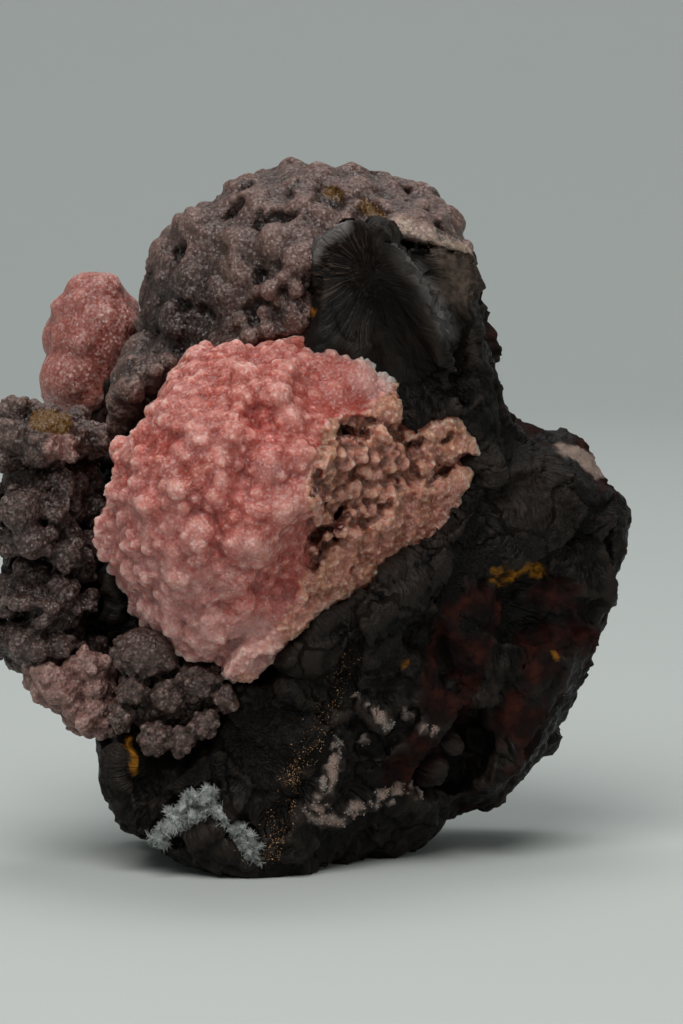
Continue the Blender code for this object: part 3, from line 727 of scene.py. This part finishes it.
def goethite():
    """Goethite, an iron oxide hydroxide grown as tight bundles of fibres and then broken.

    The eye sees near-black with a silky grey sheen along the fibres, earthy red-brown where it weathered to
    hematite, and ochre yellow where it turned to limonite. The sheen is painted into the colour as lighter
    streaks along the fibres, and highlights are painted as lighter colour along crests and ridges.
    """
    made, tree, shader = new_material("goethite")
    place = add(tree, "ShaderNodeTexCoord", out="Object")
    names = ("crest", "fibrous", "earthy", "brown", "stain", "grey", "pale", "fibres_and_sheen")
    marks = {mark: add(tree, PAINT, out="Fac", attribute_name=mark) for mark in names}
    ray = add(tree, PAINT, out="Vector", attribute_name="ray")
    fine = add(tree, SCALED, {0: ray, "Scale": 20.0})
    strands = add(tree, NOISE, {"Vector": fine, "Scale": 1.0, "Detail": 3.0})
    grains, patches, rust = (
        add(tree, NOISE, {"Vector": place, "Scale": 1 / (size * MM), "Detail": detail})
        for size, detail in ((0.6, 6.0), (5.0, 5.0), (2.2, 6.0))
    )
    black = add(tree, RAMP, (patches,), stops=((0.35, "060403"), (0.52, "0D0A08"), (0.66, "1C1510")))
    fibre_tone_and_sheen = add(tree, RAMP, (strands,), stops=((0.38, "030202"), (0.52, "0A0806"), (0.66, "231B15")))
    painted_sheen_streaks = add(tree, RAMP, (strands,), stops=((0.42, "060504"), (0.54, "15100D"), (0.68, "46392F")))
    brown = add(tree, RAMP, (grains,), stops=((0.3, "2F2721"), (0.7, "574A41")))
    earth = add(tree, RAMP, (rust,), stops=((0.35, "0A0403"), (0.5, "190906"), (0.72, "34140C")))
    ochre = add(tree, RAMP, (grains,), stops=((0.3, "6B4310"), (0.7, "A06A1C")))
    patchy = add(tree, RAMP, (patches,), stops=((0.4, 0.15), (0.6, 1.0)))
    # Painted highlight: a lighter colour along the crests of the broken faces.
    edges = add(tree, RAMP, (marks["crest"],), stops=((0.05, 0.0), (0.3, 0.55)))
    colour = layered(tree, black, (
        # Fibre streaks, lighter along the fibres: partly fibre tone, partly painted sheen.
        (add(tree, TIMES, (patchy, marks["fibrous"])), fibre_tone_and_sheen),
        # Painted sheen: brighter streaks along the fibres at the fan's brightest place.
        (marks["fibres_and_sheen"], painted_sheen_streaks),
        # Painted highlight along the crests.
        (edges, linear("2B241F")),
        # Painted highlight: grey along the ridge edges.
        (marks["grey"], linear("6C6866")),
        (marks["brown"], brown),
        (marks["earthy"], earth),
        (marks["stain"], ochre),
        (marks["pale"], linear("8C7A70")),
    ))
    threads = add(tree, TIMES, (strands, marks["fibrous"]))
    lines = add(tree, BUMP, {"Strength": 1.0, "Distance": 0.6 * MM, "Height": threads})
    coarse = add(tree, TIMES_PLUS, (marks["earthy"], 0.7, 0.6))
    crumbs = add(tree, TIMES, (grains, coarse))
    grit = add(tree, BUMP, {"Strength": 0.7, "Distance": 0.3 * MM, "Height": crumbs, "Normal": lines})
    worn = add(tree, PLUS, (marks["earthy"], marks["stain"]), use_clamp=True)
    gloss = add(tree, RAMP, (grains,), stops=((0.35, 0.36), (0.7, 0.6)))
    feed(tree, shader, {
        "Base Color": colour,
        "Normal": grit,
        "Roughness": layered(tree, gloss, ((worn, (0.8, 0.8, 0.8, 1.0)),)),
        "IOR": 1.6,
        "Specular IOR Level": 0.09,
    })
    return made


def clouded(name, size, detail, stops, values):
    """A material whose colour wanders between two, with these values on its shader."""
    made, tree, shader = new_material(name)
    place = add(tree, "ShaderNodeTexCoord", out="Object")
    cloud = add(tree, NOISE, {"Vector": place, "Scale": 1 / (size * MM), "Detail": detail})
    feed(tree, shader, {"Base Color": add(tree, RAMP, (cloud,), stops=stops), **values})
    return made


PINK = carbonate(
    "rhodochrosite_pink",
    {
        # Each tone runs from the furrows to the crests: darker in the furrows as painted shade, paler on the
        # crests as painted light.
        "body": ((0.0, "902A22"), (0.4, "A84E42"), (0.7, "B76E62"), (1.0, "D09B91")),
        "broken": ((0.0, "482011"), (0.35, "85513A"), (0.6, "A5725A"), (1.0, "C6987F")),
        "rosy": ((0.0, "4A2016"), (0.35, "905242"), (0.6, "AD7463"), (1.0, "CA9B8B")),
        "mauve": ((0.0, "8A524D"), (0.45, "B8807A"), (1.0, "D8AEA8")),
        "blush": ((0.0, "962B22"), (0.5, "AE4B40"), (1.0, "C4766B")),
    },
    # Painted shade is laid in the dark colour given here, and painted glints at the share given last.
    stain="5C3D0C", shade_colour="552519", glow=0.9, depth=2.6, roughness=(0.28, 0.5), painted_glint_share=0.36,
)
GREY = carbonate(
    "rhodochrosite_grey",
    {
        # Each tone runs from the furrows to the crests: near-black in the furrows as painted shade, paler on
        # the crests as painted light.
        "body": ((0.0, "110907"), (0.42, "3C2B25"), (0.75, "56413A"), (1.0, "765D55")),
        "broken": ((0.0, "3A2A22"), (0.5, "A08874"), (1.0, "D0BAA6")),
        "rosy": ((0.0, "3E2A24"), (0.5, "A5857A"), (1.0, "D4B8AC")),
        "mauve": ((0.0, "160B09"), (0.45, "48352F"), (1.0, "70554E")),
        "blush": ((0.0, "5A302C"), (0.5, "9E6F66"), (1.0, "C49C92")),
    },
    # Painted shade is laid in the dark colour given here, and painted glints at the share given last.
    stain="5C3D0C", shade_colour="170C09", glow=0.25, depth=0.8, roughness=(0.3, 0.55), painted_glint_share=0.14,
)
ROCK = goethite()

# A white felt of aragonite needles: chalky, slightly blue, and dull.
FELT = clouded("white_felt", 0.8, 4.0, ((0.36, "626663"), (0.64, "B8BCBA")), {
    "Roughness": 0.6, "Subsurface Weight": 0.3, "Subsurface Radius": (1.0,) * 3, "Subsurface Scale": 0.3 * MM,
})

# Small grains of white and rose carbonate: pale, with a soft gloss.
GRAINS = clouded("pale_grains", 3.0, 2.0, ((0.4, "7A8082"), (0.6, "9C7E73")), {"Roughness": 0.6})

# Loose goethite needles with a tarnish that glints like copper.
COPPER = clouded("coppery_needles", 1.0, 2.0, ((0.35, "5A3C28"), (0.65, "C49A70")), {
    "Metallic": 0.7, "Roughness": 0.35,
})

KNOBS = knob_tree()
CRYSTALS = crystal_tree()
BROKEN_ROCK = rock_tree()
NEEDLES = needle_tree()


# Carbonate skins

def mark(obj, marks):
    """Paints a skin, with 0 for each mark that isn't given."""
    blank = np.zeros(len(obj.data.vertices))
    store(obj, {name: blank + marks.get(name, 0.0) for name in ("knobby", "gritty", *PAINTED)})


def grow_knobs(obj, rows, material):
    """Strews knobs of each row's sizes: room for them, spacing, smallest, largest, share sunk, seed."""
    ones = np.ones(len(obj.data.vertices))
    store(obj, {f"room{seed}": ones * room for room, *_, seed in rows})
    for room, *sizes, share, seed in rows:
        run_tree(obj, KNOBS, dict(zip(("Spacing", "Smallest", "Largest"), sizes)), {
            "Sunk": share, "Room": f"room{seed}", "Seed": seed, "Material": material,
        })
    return bake(obj)


def grow_crystals(obj, sizes, material):
    """Covers the skin with small knobs and crystals: size and height of each."""
    names = ("Knob size", "Knob height", "Crystal size", "Crystal height")
    run_tree(obj, CRYSTALS, dict(zip(names, sizes)), {"Material": material})
    bake(obj)
    move_to(obj, points_of(obj))
    return shade_flat(obj)


def broken_side(points, wander=0.0):
    """1 on the broken section and 0 on the pink skin."""
    heights, edges = zip(*BROKEN_EDGE)
    flat = seen(points)
    return ease(flat[:, 0] + wander - np.interp(flat[:, 1], heights, edges), -0.4, 0.3)


def domes(points, rows):
    """Rounded rises on the front, as X, Z and radius."""
    flat = seen(points)
    return most(
        np.clip(1 - (np.linalg.norm(flat - np.array((x, z)), axis=1) / radius) ** 2, 0, 1) ** 1.5 * radius
        for x, z, radius in rows
    )


def cavities(points):
    """How deep the holes in the section are, and where they are dark with painted shade."""
    bent = points + drift(points, 1.6, (1.0, 5.0, 9.0)) * 0.8
    depth = most(stroke(bent, line, half_width, 0.5) * deep for line, half_width, deep in CAVITIES)
    return depth, ease(depth, 0.7, 1.7)


def pink_ball():
    obj = with_lumps(merged_copy("pink_ball", "pink_crystal_ball"), PINK_SWELLS)
    reskin(obj, 0.3, 6)
    points, normals = points_of(obj), normals_of(obj)
    broken = broken_side(points)
    skin = 1 - broken
    aim = unit(SECTION_NORMAL)
    facing = ease(normals @ aim, 0.2, 0.6)
    cluster = stroke(points, CLUSTER, 1.3, 0.8) * broken
    patch = spot(points, SMOOTH_PATCH, 2.4, 1.6)
    outward = (points - np.array(BALL_MIDDLE)) / BALL_RADIUS
    drawn_in = sum(ease(outward @ np.array(way), low, high) * depth for way, low, high, depth in DRAWN_IN)
    swell = fuzz(points, 5.0, 2.0) * 0.7
    dent = most(spot(points, (x, z), radius * 0.3, radius * 0.8) for x, z, radius in BLUSHES)
    dome = domes(points, LARGE_KNOBS) * ahead(points, 8.0, 11.0)
    height = skin * ((swell - dent * 0.5 + dome * 0.28) * (1 - patch) - 0.5 - drawn_in)
    height += broken * (0.3 + fuzz(points, 1.6, 6.0) * (0.3 + 0.4 * cluster))
    height -= spot(points, FLAT_KNOB, 0.9, 1.3) * 0.5
    holes, dark = cavities(points)
    moved = points + normals * height[:, None]
    moved -= aim * (stroke(points, CLUSTER, 1.4, 0.8) * 1.3 * facing)[:, None]
    moved += np.array(AWAY) * (holes * facing)[:, None]
    moved += skin[:, None] * np.array((0.4, 0.0, 0.5))
    moved += stroke(points, LOWER_LIP, 1.2, 1.8)[:, None] * np.array((0.0, 1.6, 1.5))
    moved += spot(points, TIP_END, 1.6, 2.0)[:, None] * np.array((-1.4, 0.0, 0.6))
    move_to(obj, moved)
    inner = 1 - 0.8 * ease(-points[:, 0], 18.0, 20.0)
    knobby = skin * (1 - patch) * (1 - spot(points, TIP, 2.2, 1.0)) * (1 - 0.9 * ease(dome, 0.4, 1.2))
    rim = stroke(points, WHITE_RIM, 0.9, 0.6) * ahead(points, 4.0, 6.0)
    bedded = cluster * (1 - dark)
    grow_knobs(obj, (
        (knobby * inner, 2.2, 1.0, 1.8, 0.74, 4),
        (knobby, 1.2, 0.45, 0.85, 0.5, 6),
        (bedded, 1.4, 0.6, 0.95, 0.1, 7),
        (bedded * 0.9, 0.8, 0.3, 0.55, 0.15, 9),
        (np.maximum(broken * (1 - cluster), rim), 0.5, 0.15, 0.4, 0.2, 8),
    ), PINK)
    reskin(obj, 0.17, 2)
    paint_ball(obj)
    grow_crystals(obj, (1.1, 0.18, 0.38, 0.14), PINK)
    return lighten(obj, BALL_TRIANGLES, ease(points_of(obj)[:, 1], -8.0, -2.0))


def paint_ball(obj):
    points = points_of(obj)
    wander = fuzz(points, 1.6)
    broken = broken_side(points, wander * 0.8)
    cluster = stroke(points, CLUSTER, 1.3, 0.8) * broken
    patch = spot(points, SMOOTH_PATCH, 2.4, 2.0)
    tip = spot(points, TIP, 2.2, 1.0)
    rim = stroke(points, WHITE_RIM, 0.4, 1.1) * ahead(points, 4.0, 6.0)
    low_left = (points - np.array(BALL_MIDDLE)) / BALL_RADIUS @ unit(LOW_LEFT)
    dome = ease(domes(points, LARGE_KNOBS), 0.5, 1.5)
    blush = most(spot(points, (x, z), radius * 0.5, radius) for x, z, radius in BLUSHES)
    grit = 0.5 + 0.5 * np.maximum(ease(low_left, 0.1, 0.7), rim) + 0.3 * broken
    white = rim * 0.42 + dome * 0.08 + tip * 0.3 + spot(points, WHITE_PATCH, 0.8, 2.4) * 0.25
    mark(obj, {
        "knobby": (1 - broken * 0.9 * (1 - cluster)) * (1 - patch * 0.7) * (1 - tip * 0.7) * (1 - dome * 0.5),
        "gritty": grit * (1 - tip * 0.7) * (1 - dome * 0.4),
        "broken": broken * (1 - tip * 0.85),
        "mauve": ease(low_left + wander * 0.25, 0.25, 0.95) * 0.8 * (1 - tip),
        "pale": np.clip(white, 0, 1),
        "blush": np.clip(blush * 0.7 + patch * 0.25, 0, 1) * (1 - broken),
        # Painted shade in the holes of the broken section.
        "painted_shade": cavities(points)[1] * broken,
        "cluster": cluster,
    })


def back_knob():
    obj = sunk(reskin(merged_copy("back_pink_knob", "back_pink_crystals"), 0.3, 24), 0.1)
    grow_knobs(obj, ((1.0, 3.4, 2.2, 3.2, 0.88, 14),), PINK)
    reskin(obj, 0.17, 24)
    low = ease(-points_of(obj)[:, 2], -44.0, -40.0)
    # Painted shade evenly over the whole knob.
    mark(obj, {"knobby": 1.0, "gritty": 0.5, "mauve": low * 0.4, "painted_shade": 0.4})
    return grow_crystals(obj, (1.1, 0.16, 0.38, 0.1), PINK)


def left_crust():
    obj = reskin(merged_copy("grey_crust_left", "grey_ledged_crust"), 0.3, 4)
    points = points_of(obj)
    level = seen(points)[:, 1] + fuzz(points, 5.0) * 1.6
    cleft = most(1 - ease(np.abs(level - height), 0.3, 0.9) for height in LEFT_CLEFTS)
    outer = ease(-points[:, 0], 29.0, 32.5) * 1.4
    move_to(obj, points - normals_of(obj) * (0.5 + outer + cleft * 1.5)[:, None])
    room = 1 - cleft
    grow_knobs(obj, ((room, 2.2, 1.2, 1.9, 0.5, 24), (room, 1.3, 0.5, 0.9, 0.4, 25)), GREY)
    reskin(obj, 0.17, 1)
    points = points_of(obj)
    front = ahead(points, 2.0, 4.0)
    film = stroke(points, LEFT_STAIN, 0.7, 0.8) * (1 + fuzz(points, 1.2) * 0.5)
    mark(obj, {
        "knobby": 1.0,
        "gritty": 1.0,
        "stain": ease(film, 0.3, 0.7) * front,
        "blush": spot(points, LEFT_BLUSH, 1.2, 0.8) * front,
        "mauve": ease(fuzz(points, 6.0), -0.1, 0.5) * 0.6,
        # Painted shade over the whole crust, darker towards the bottom.
        "painted_shade": 0.25 + ease(-points[:, 2], -41.0, -36.0) * 0.35,
    })
    grow_crystals(obj, (0.9, 0.3, 0.36, 0.16), GREY)
    return lighten(obj, LEDGE_TRIANGLES, ease(points_of(obj)[:, 1], -3.0, 5.0))


def top_crust():
    obj = reskin(merged_copy("grey_crust_top", "grey_domed_crust"), 0.3, 16)
    points, normals = points_of(obj), normals_of(obj)
    pits = 1 - ease(fuzz(points, 3.2, 3.0), -0.55, -0.3)
    rim = stroke(points, DOME_RIM, 0.8, 0.8) * ahead(points, -8.0, -3.0)
    beaded = stroke(points, DOME_BEADS, 1.6, 0.8) * ahead(points, 2.0, 4.0)
    film = most(stroke(points, line, 0.4, 1.2) for line in DOME_FILMS)
    sunk_in = (0.3 + pits * 1.1 + beaded * 0.9 + film * 0.9) * (1 - rim) - rim * 0.4
    moved = points - normals * sunk_in[:, None]
    moved[:, 0] -= (ease(-points[:, 0], 9.0, 15.0) * 1.6 + ease(points[:, 0], 9.0, 14.0) * 2.0) * (1 - rim)
    move_to(obj, moved)
    room = (1 - pits) * (1 - rim) * (1 - 0.85 * ease(points[:, 2], 59.0, 62.0)) * (1 - beaded) * (1 - film)
    grow_knobs(obj, (
        (room, 2.6, 1.5, 2.5, 0.84, 34), (room, 1.5, 0.7, 1.2, 0.75, 35), (beaded, 1.5, 0.75, 1.15, -0.5, 36),
    ), GREY)
    reskin(obj, 0.22, 5)
    points = points_of(obj)
    front = ahead(points, -8.0, -3.0)
    film = most(stroke(points, line, 0.2, 0.9) for line in DOME_FILMS)
    pits = 1 - ease(fuzz(points, 3.2, 3.0), -0.6, -0.35)
    mark(obj, {
        "knobby": 1.0,
        "gritty": 0.8,
        "mauve": ease(points[:, 2] + fuzz(points, 6.0) * 8, 44.0, 54.0),
        "broken": stroke(points, DOME_RIM, 0.3, 1.0) * front * 0.7,
        "stain": ease(film * (1 + fuzz(points, 1.2) * 0.6), 0.3, 0.9) * front,
        # Painted shade in the pits between the knobs, and in the shaded place behind the ball.
        "painted_shade": np.maximum(pits * 0.7, spot(points, DOME_SHADE, 2.0, 4.5) * 0.75),
    })
    grow_crystals(obj, (1.2, 0.2, 0.5, 0.1), GREY)
    return lighten(obj, DOME_TRIANGLES, ease(points_of(obj)[:, 1], 4.0, 12.0))


def beads():
    blank = as_object(bpy.data.meshes.new("grey_bead_cluster"), "grey_bead_cluster")
    obj = sunk(with_lumps(blank, BEADS), 0.15)
    points = points_of(obj)
    main = spot(points, MAIN_BEAD, 2.6, 0.4) * ahead(points, 8.0, 8.4)
    grow_knobs(obj, ((1 - main, 0.9, 0.35, 0.75, 0.3, 54),), GREY)
    reskin(obj, 0.13, 1)
    main = spot(points_of(obj), MAIN_BEAD, 2.9, 0.4)
    # Painted shade evenly over the beads.
    mark(obj, {"knobby": 1 - main * 0.6, "gritty": 0.8, "mauve": main * 0.8, "painted_shade": 0.35})
    return grow_crystals(obj, (0.7, 0.2, 0.32, 0.14), GREY)


def flank():
    obj = sunk(reskin(merged_copy("flank_lump", "pale_flank_crust"), 0.2, 4), 0.3)
    grow_knobs(obj, ((1.0, 1.6, 0.7, 1.3, 0.45, 44), (1.0, 1.0, 0.4, 0.7, 0.3, 45)), GREY)
    reskin(obj, 0.16, 1)
    # A little painted shade evenly over the crust.
    mark(obj, {"knobby": 1.0, "gritty": 1.0, "blush": 0.6, "painted_shade": 0.1})
    return grow_crystals(obj, (0.9, 0.3, 0.36, 0.16), GREY)


# Rock and small growths

def lay_fibres(obj, fan):
    """Stores the way that the fibres run at each point, and how far it is from their middle."""
    points = points_of(obj)
    middles = np.array(FIBRE_MIDDLES)
    apart = np.linalg.norm((points + drift(points, 5.0, (1.0, 4.0, 8.0)) * 1.5)[:, None, :] - middles, axis=2)
    ray = points - middles[apart.argmin(axis=1)]
    look = unit(FAN_NORMAL)
    across = points - np.array(FAN_MIDDLE)
    across -= (across @ look)[:, None] * look
    across += fuzz(points, 3.0, 2.0)[:, None] * np.array((0.9, 0.0, 0.4))
    ray = np.where(fan[:, None] > 0.5, across, ray)
    reach = np.maximum(np.linalg.norm(ray, axis=1), 0.01)
    store(obj, {"reach": reach, "ray": ray / reach[:, None]})


def paint_rock(obj, fan, front):
    """Stores where the rock is crumbly, fibrous, weathered or overgrown, and where sheen and highlights are
    painted on it.
    """
    points = points_of(obj)
    soft, fine = fuzz(points, 3.0), fuzz(points, 1.0)
    earthy = most(stroke(points, line, half_width, 2.4) * front for line, half_width in EARTHY_PLACES)
    earthy = np.clip(earthy + (1 - front) * ease(fuzz(points, 9.0, 5.0), 0.0, 0.3) * 0.8, 0, 1)
    earthy = ease(earthy * (1 + soft * 1.2), 0.3, 0.75)
    crumbly = most(spot(points, place, radius * 0.6, radius * 0.6) for place, radius in CRUMBLY_PLACES)
    crumbly = np.maximum(crumbly * front, (1 - front) * 0.6)
    # Painted sheen: brighter streaks along the fan's fibres near its top, where its fibres also stand out
    # most.
    fibres_and_sheen = spot(points, FIBRE_AND_SHEEN_PLACE, 2.6, 2.8) * front
    strong = np.where(fan > 0.5, 0.3 + 0.4 * fibres_and_sheen, 0.75)
    brown = stroke(points, BROWN_LINE, 1.6, 3.0) * (1 - spot(points, BROWN_FREE, 6.4, 0.8))
    brown = np.maximum(brown, spot(points, BROWN_SPOT, 3.0, 3.0) * 0.15)
    ochre = most([
        *(stroke(points, *line) for line in OCHRE_LINES),
        *(spot(points, place, radius, 0.5) for place, radius in OCHRE_SPOTS),
    ])
    grains = most(stroke(points, line, half_width, 0.8) for line, half_width in PALE_STREAKS)
    grains = ease(grains * (0.55 + fine * 1.8), 0.4, 0.95) * front
    shoulder = ease(stroke(points, SHOULDER, 0.3, 0.8) * (1.0 + soft), 0.4, 0.9)
    shoulder = shoulder * ahead(points, -9.0, -6.0) * 0.8
    low = 0.35 + 0.65 * ease(-points[:, 2], -13.0, -9.0)
    # Painted highlight: a grey line along the ridge edges and the top edge.
    grey = np.maximum(stroke(points, HIGHLIGHT_EDGE, 0.3, 1.0) * 0.6, stroke(points, HIGHLIGHT_TOP, 0.35, 0.6))
    store(obj, {
        "broken": 1 - fan * 0.85,
        "crumbly": crumbly,
        "fibrous": (1 - earthy) * strong * (1 - crumbly * 0.6),
        "fibres_and_sheen": fibres_and_sheen,
        "earthy": earthy,
        "brown": brown * front,
        "stain": ease(ochre * (1.0 + fine * 1.6), 0.45, 1.0) * front,
        "grey": grey * front,
        "grains": grains,
        "pale": np.maximum(grains, shoulder),
        "copper": stroke(points, COPPER_BAND, 0.5, 1.3) * front * ease(fine + soft * 0.6, -0.35, 0.3) * low,
    })


def rock():
    obj = reskin(merged_copy("goethite_matrix", "goethite_rock"), 0.28, 2)
    points, normals = points_of(obj), normals_of(obj)
    front, facing = ahead(points, -4.0, 2.0), ease(-normals[:, 1], 0.0, 0.4)
    depth = most(stroke(points, line, half_width, 1.4) * deep for line, half_width, deep in ROCK_FURROWS)
    depth -= stroke(points, SECTION_FOOT, 1.2, 1.6) * 1.6
    moved = points - normals * (depth * front * facing)[:, None]
    moved[:, 2] -= spot(points, UNDER_DOME, 1.3, 1.3)
    move_to(obj, moved)
    points = points_of(obj)
    front = ahead(points, -4.0, 2.0)
    fan = spot(points, FAN, 8.6, 0.2) * front * ease(normals_of(obj) @ unit(FAN_NORMAL), 0.1, 0.5)
    lay_fibres(obj, fan)
    paint_rock(obj, fan, front)
    run_tree(obj, BROKEN_ROCK, {
        "Block size": 8.0, "Block height": 2.4, "Chip size": 2.6, "Chip height": 0.5, "Crumb size": 2.4,
        "Crumb height": 3.2, "Ledge height": 0.35, "Fibre height": 0.8,
    }, {"Ledge": 2.8, "Fibres": 13.0, "Material": ROCK})
    worn = obj.modifiers.new("worn", "SMOOTH")
    worn.factor = 0.4
    worn.iterations = 1
    thin = obj.modifiers.new("thin", "DECIMATE")
    thin.ratio = min(1.0, ROCK_TRIANGLES / (len(obj.data.polygons) * 2))
    bake(obj)
    move_to(obj, points_of(obj))
    return obj


def strewn(skin, name, mask, sizes, tip, seed, material):
    """Needles where a mask on the skin says. The sizes are spacing, shortest, longest and thickness."""
    obj = as_object(skin.data.copy(), name)
    run_tree(obj, NEEDLES, dict(zip(("Spacing", "Shortest", "Longest", "Thickness"), sizes)), {
        "Tip": tip, "Lean": 1.5, "Room": mask, "Seed": seed, "Material": material,
    })
    bake(obj)
    move_to(obj, points_of(obj))
    return obj


def tuft():
    skin = reskin(merged_copy("white_tuft", "white_felt_tuft"), 0.12, 3)
    points, normals = points_of(skin), normals_of(skin)
    ragged = fuzz(points, 0.9) * 1.4 - 0.45
    move_to(skin, points + normals * ragged[:, None])
    reskin(skin, 0.1, 2)
    store(skin, {"room": np.ones(len(skin.data.vertices))})
    skin.data.materials.append(FELT)
    hairs = strewn(skin, "felt_hairs", "room", (0.112, 0.3, 0.7, 0.037), 0.3, 9, FELT)
    bm = bmesh.new()
    bm.from_mesh(skin.data)
    bm.from_mesh(hairs.data)
    bm.to_mesh(skin.data)
    bm.free()
    bpy.data.objects.remove(hairs)
    return skin


stone = rock()
for piece, nodes, slot in (
    (pink_ball(), ("pink_ball",), "pink_crystal"),
    (back_knob(), ("back_pink_knob",), "pink_crystal"),
    (left_crust(), ("grey_crust_left",), "grey_crystal"),
    (top_crust(), ("grey_crust_top",), "grey_crystal"),
    (beads(), ("grey_beads",), "grey_crystal"),
    (flank(), ("flank_lump",), "pale_crystal"),
    (stone, ("goethite_matrix",), "goethite"),
    (tuft(), ("white_tuft",), "white_tuft"),
    (strewn(stone, "pale_grains", "grains", (0.2, 0.06, 0.22, 0.08), 0.6, 61, GRAINS), (), "white_tuft"),
    (strewn(stone, "coppery_needles", "copper", (0.15, 0.08, 0.26, 0.035), 0.5, 62, COPPER), (), "goethite"),
):
    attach(piece, "root")
    if nodes:
        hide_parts(*nodes)


# Studio, in metres and watts

STUDIO_MIDDLE = (0.0, 0.0, 0.035)

# Round soft boxes: name, place, what it points at, size, power, colour.
LAMPS = (
    ("key", (-0.13, -0.43, 0.64), STUDIO_MIDDLE, 0.6, 4.7, (1.0, 0.98, 0.96)),
    ("top", (0.1, 0.3, 0.9), STUDIO_MIDDLE, 0.7, 2.1, (0.97, 0.99, 1.0)),
    ("fill", (0.6, -0.5, 0.25), STUDIO_MIDDLE, 0.4, 0.5, (1.0, 0.97, 0.94)),
    ("wall", (0.0, 0.4, 1.1), (0.0, 1.1, 0.15), 0.6, 2.9, (1.0, 1.0, 1.0)),
)


def paper_sweep():
    """One sheet of pale matt paper: a round floor that curves up into a wall."""
    made, tree, shader = new_material("studio_paper")
    feed(tree, shader, {"Base Color": linear("BABFBD"), "Roughness": 0.9, "Specular IOR Level": 0.1})
    floor_radius, curve, wall, sides, steps = 0.7, 0.5, 1.3, 96, 12
    profile = [(0.02 * floor_radius, 0.0), (floor_radius, 0.0)]
    for i in range(1, steps + 1):
        turn = math.pi / 2 * i / steps
        profile.append((floor_radius + curve * math.sin(turn), curve * (1 - math.cos(turn))))
    profile.append((floor_radius + curve, curve + wall))
    bm = bmesh.new()
    rings = []
    for radius, height in profile:
        angles = [2 * math.pi * k / sides for k in range(sides)]
        rings.append([bm.verts.new((radius * math.cos(a), radius * math.sin(a), height)) for a in angles])
    bm.faces.new(rings[0])
    for inner, outer in zip(rings, rings[1:]):
        for k in range(sides):
            j = (k + 1) % sides
            bm.faces.new((inner[k], outer[k], outer[j], inner[j]))
    for face in bm.faces:
        face.smooth = True
    mesh = bpy.data.meshes.new("paper_sweep")
    bm.to_mesh(mesh)
    bm.free()
    mesh.materials.append(made)
    as_object(mesh, "paper_sweep")


def soft_box(name, place, aim, size, power, colour):
    lamp = bpy.data.lights.new(name, "AREA")
    lamp.shape = "DISK"
    lamp.size = size
    lamp.energy = power
    lamp.color = colour
    obj = as_object(lamp, name)
    obj.location = place
    obj.rotation_euler = (Vector(aim) - Vector(place)).to_track_quat("-Z", "Y").to_euler()
    obj.visible_camera = False


def camera():
    """A view from in front and a little above level."""
    distance = DISTANCE * MM
    pixels_per_mm, long_side = 10.5, 1024
    data = bpy.data.cameras.new("camera")
    obj = as_object(data, "camera")
    obj.location = Vector(AIM) * MM - Vector(AWAY) * distance
    obj.rotation_euler = Vector(AWAY).to_track_quat("-Z", "Y").to_euler()
    data.sensor_width = 36
    data.lens = data.sensor_width * distance / (long_side / pixels_per_mm * MM)
    data.clip_start = 0.01
    bpy.context.scene.camera = obj


paper_sweep()
for lamp in LAMPS:
    soft_box(*lamp)
world = bpy.data.worlds.new("studio")
bpy.context.scene.world = world
world.use_nodes = True
feed(world.node_tree, world.node_tree.nodes["Background"], {"Color": linear("C4C9C7"), "Strength": 0.3})
bpy.context.scene.view_settings.view_transform = "Standard"
camera()
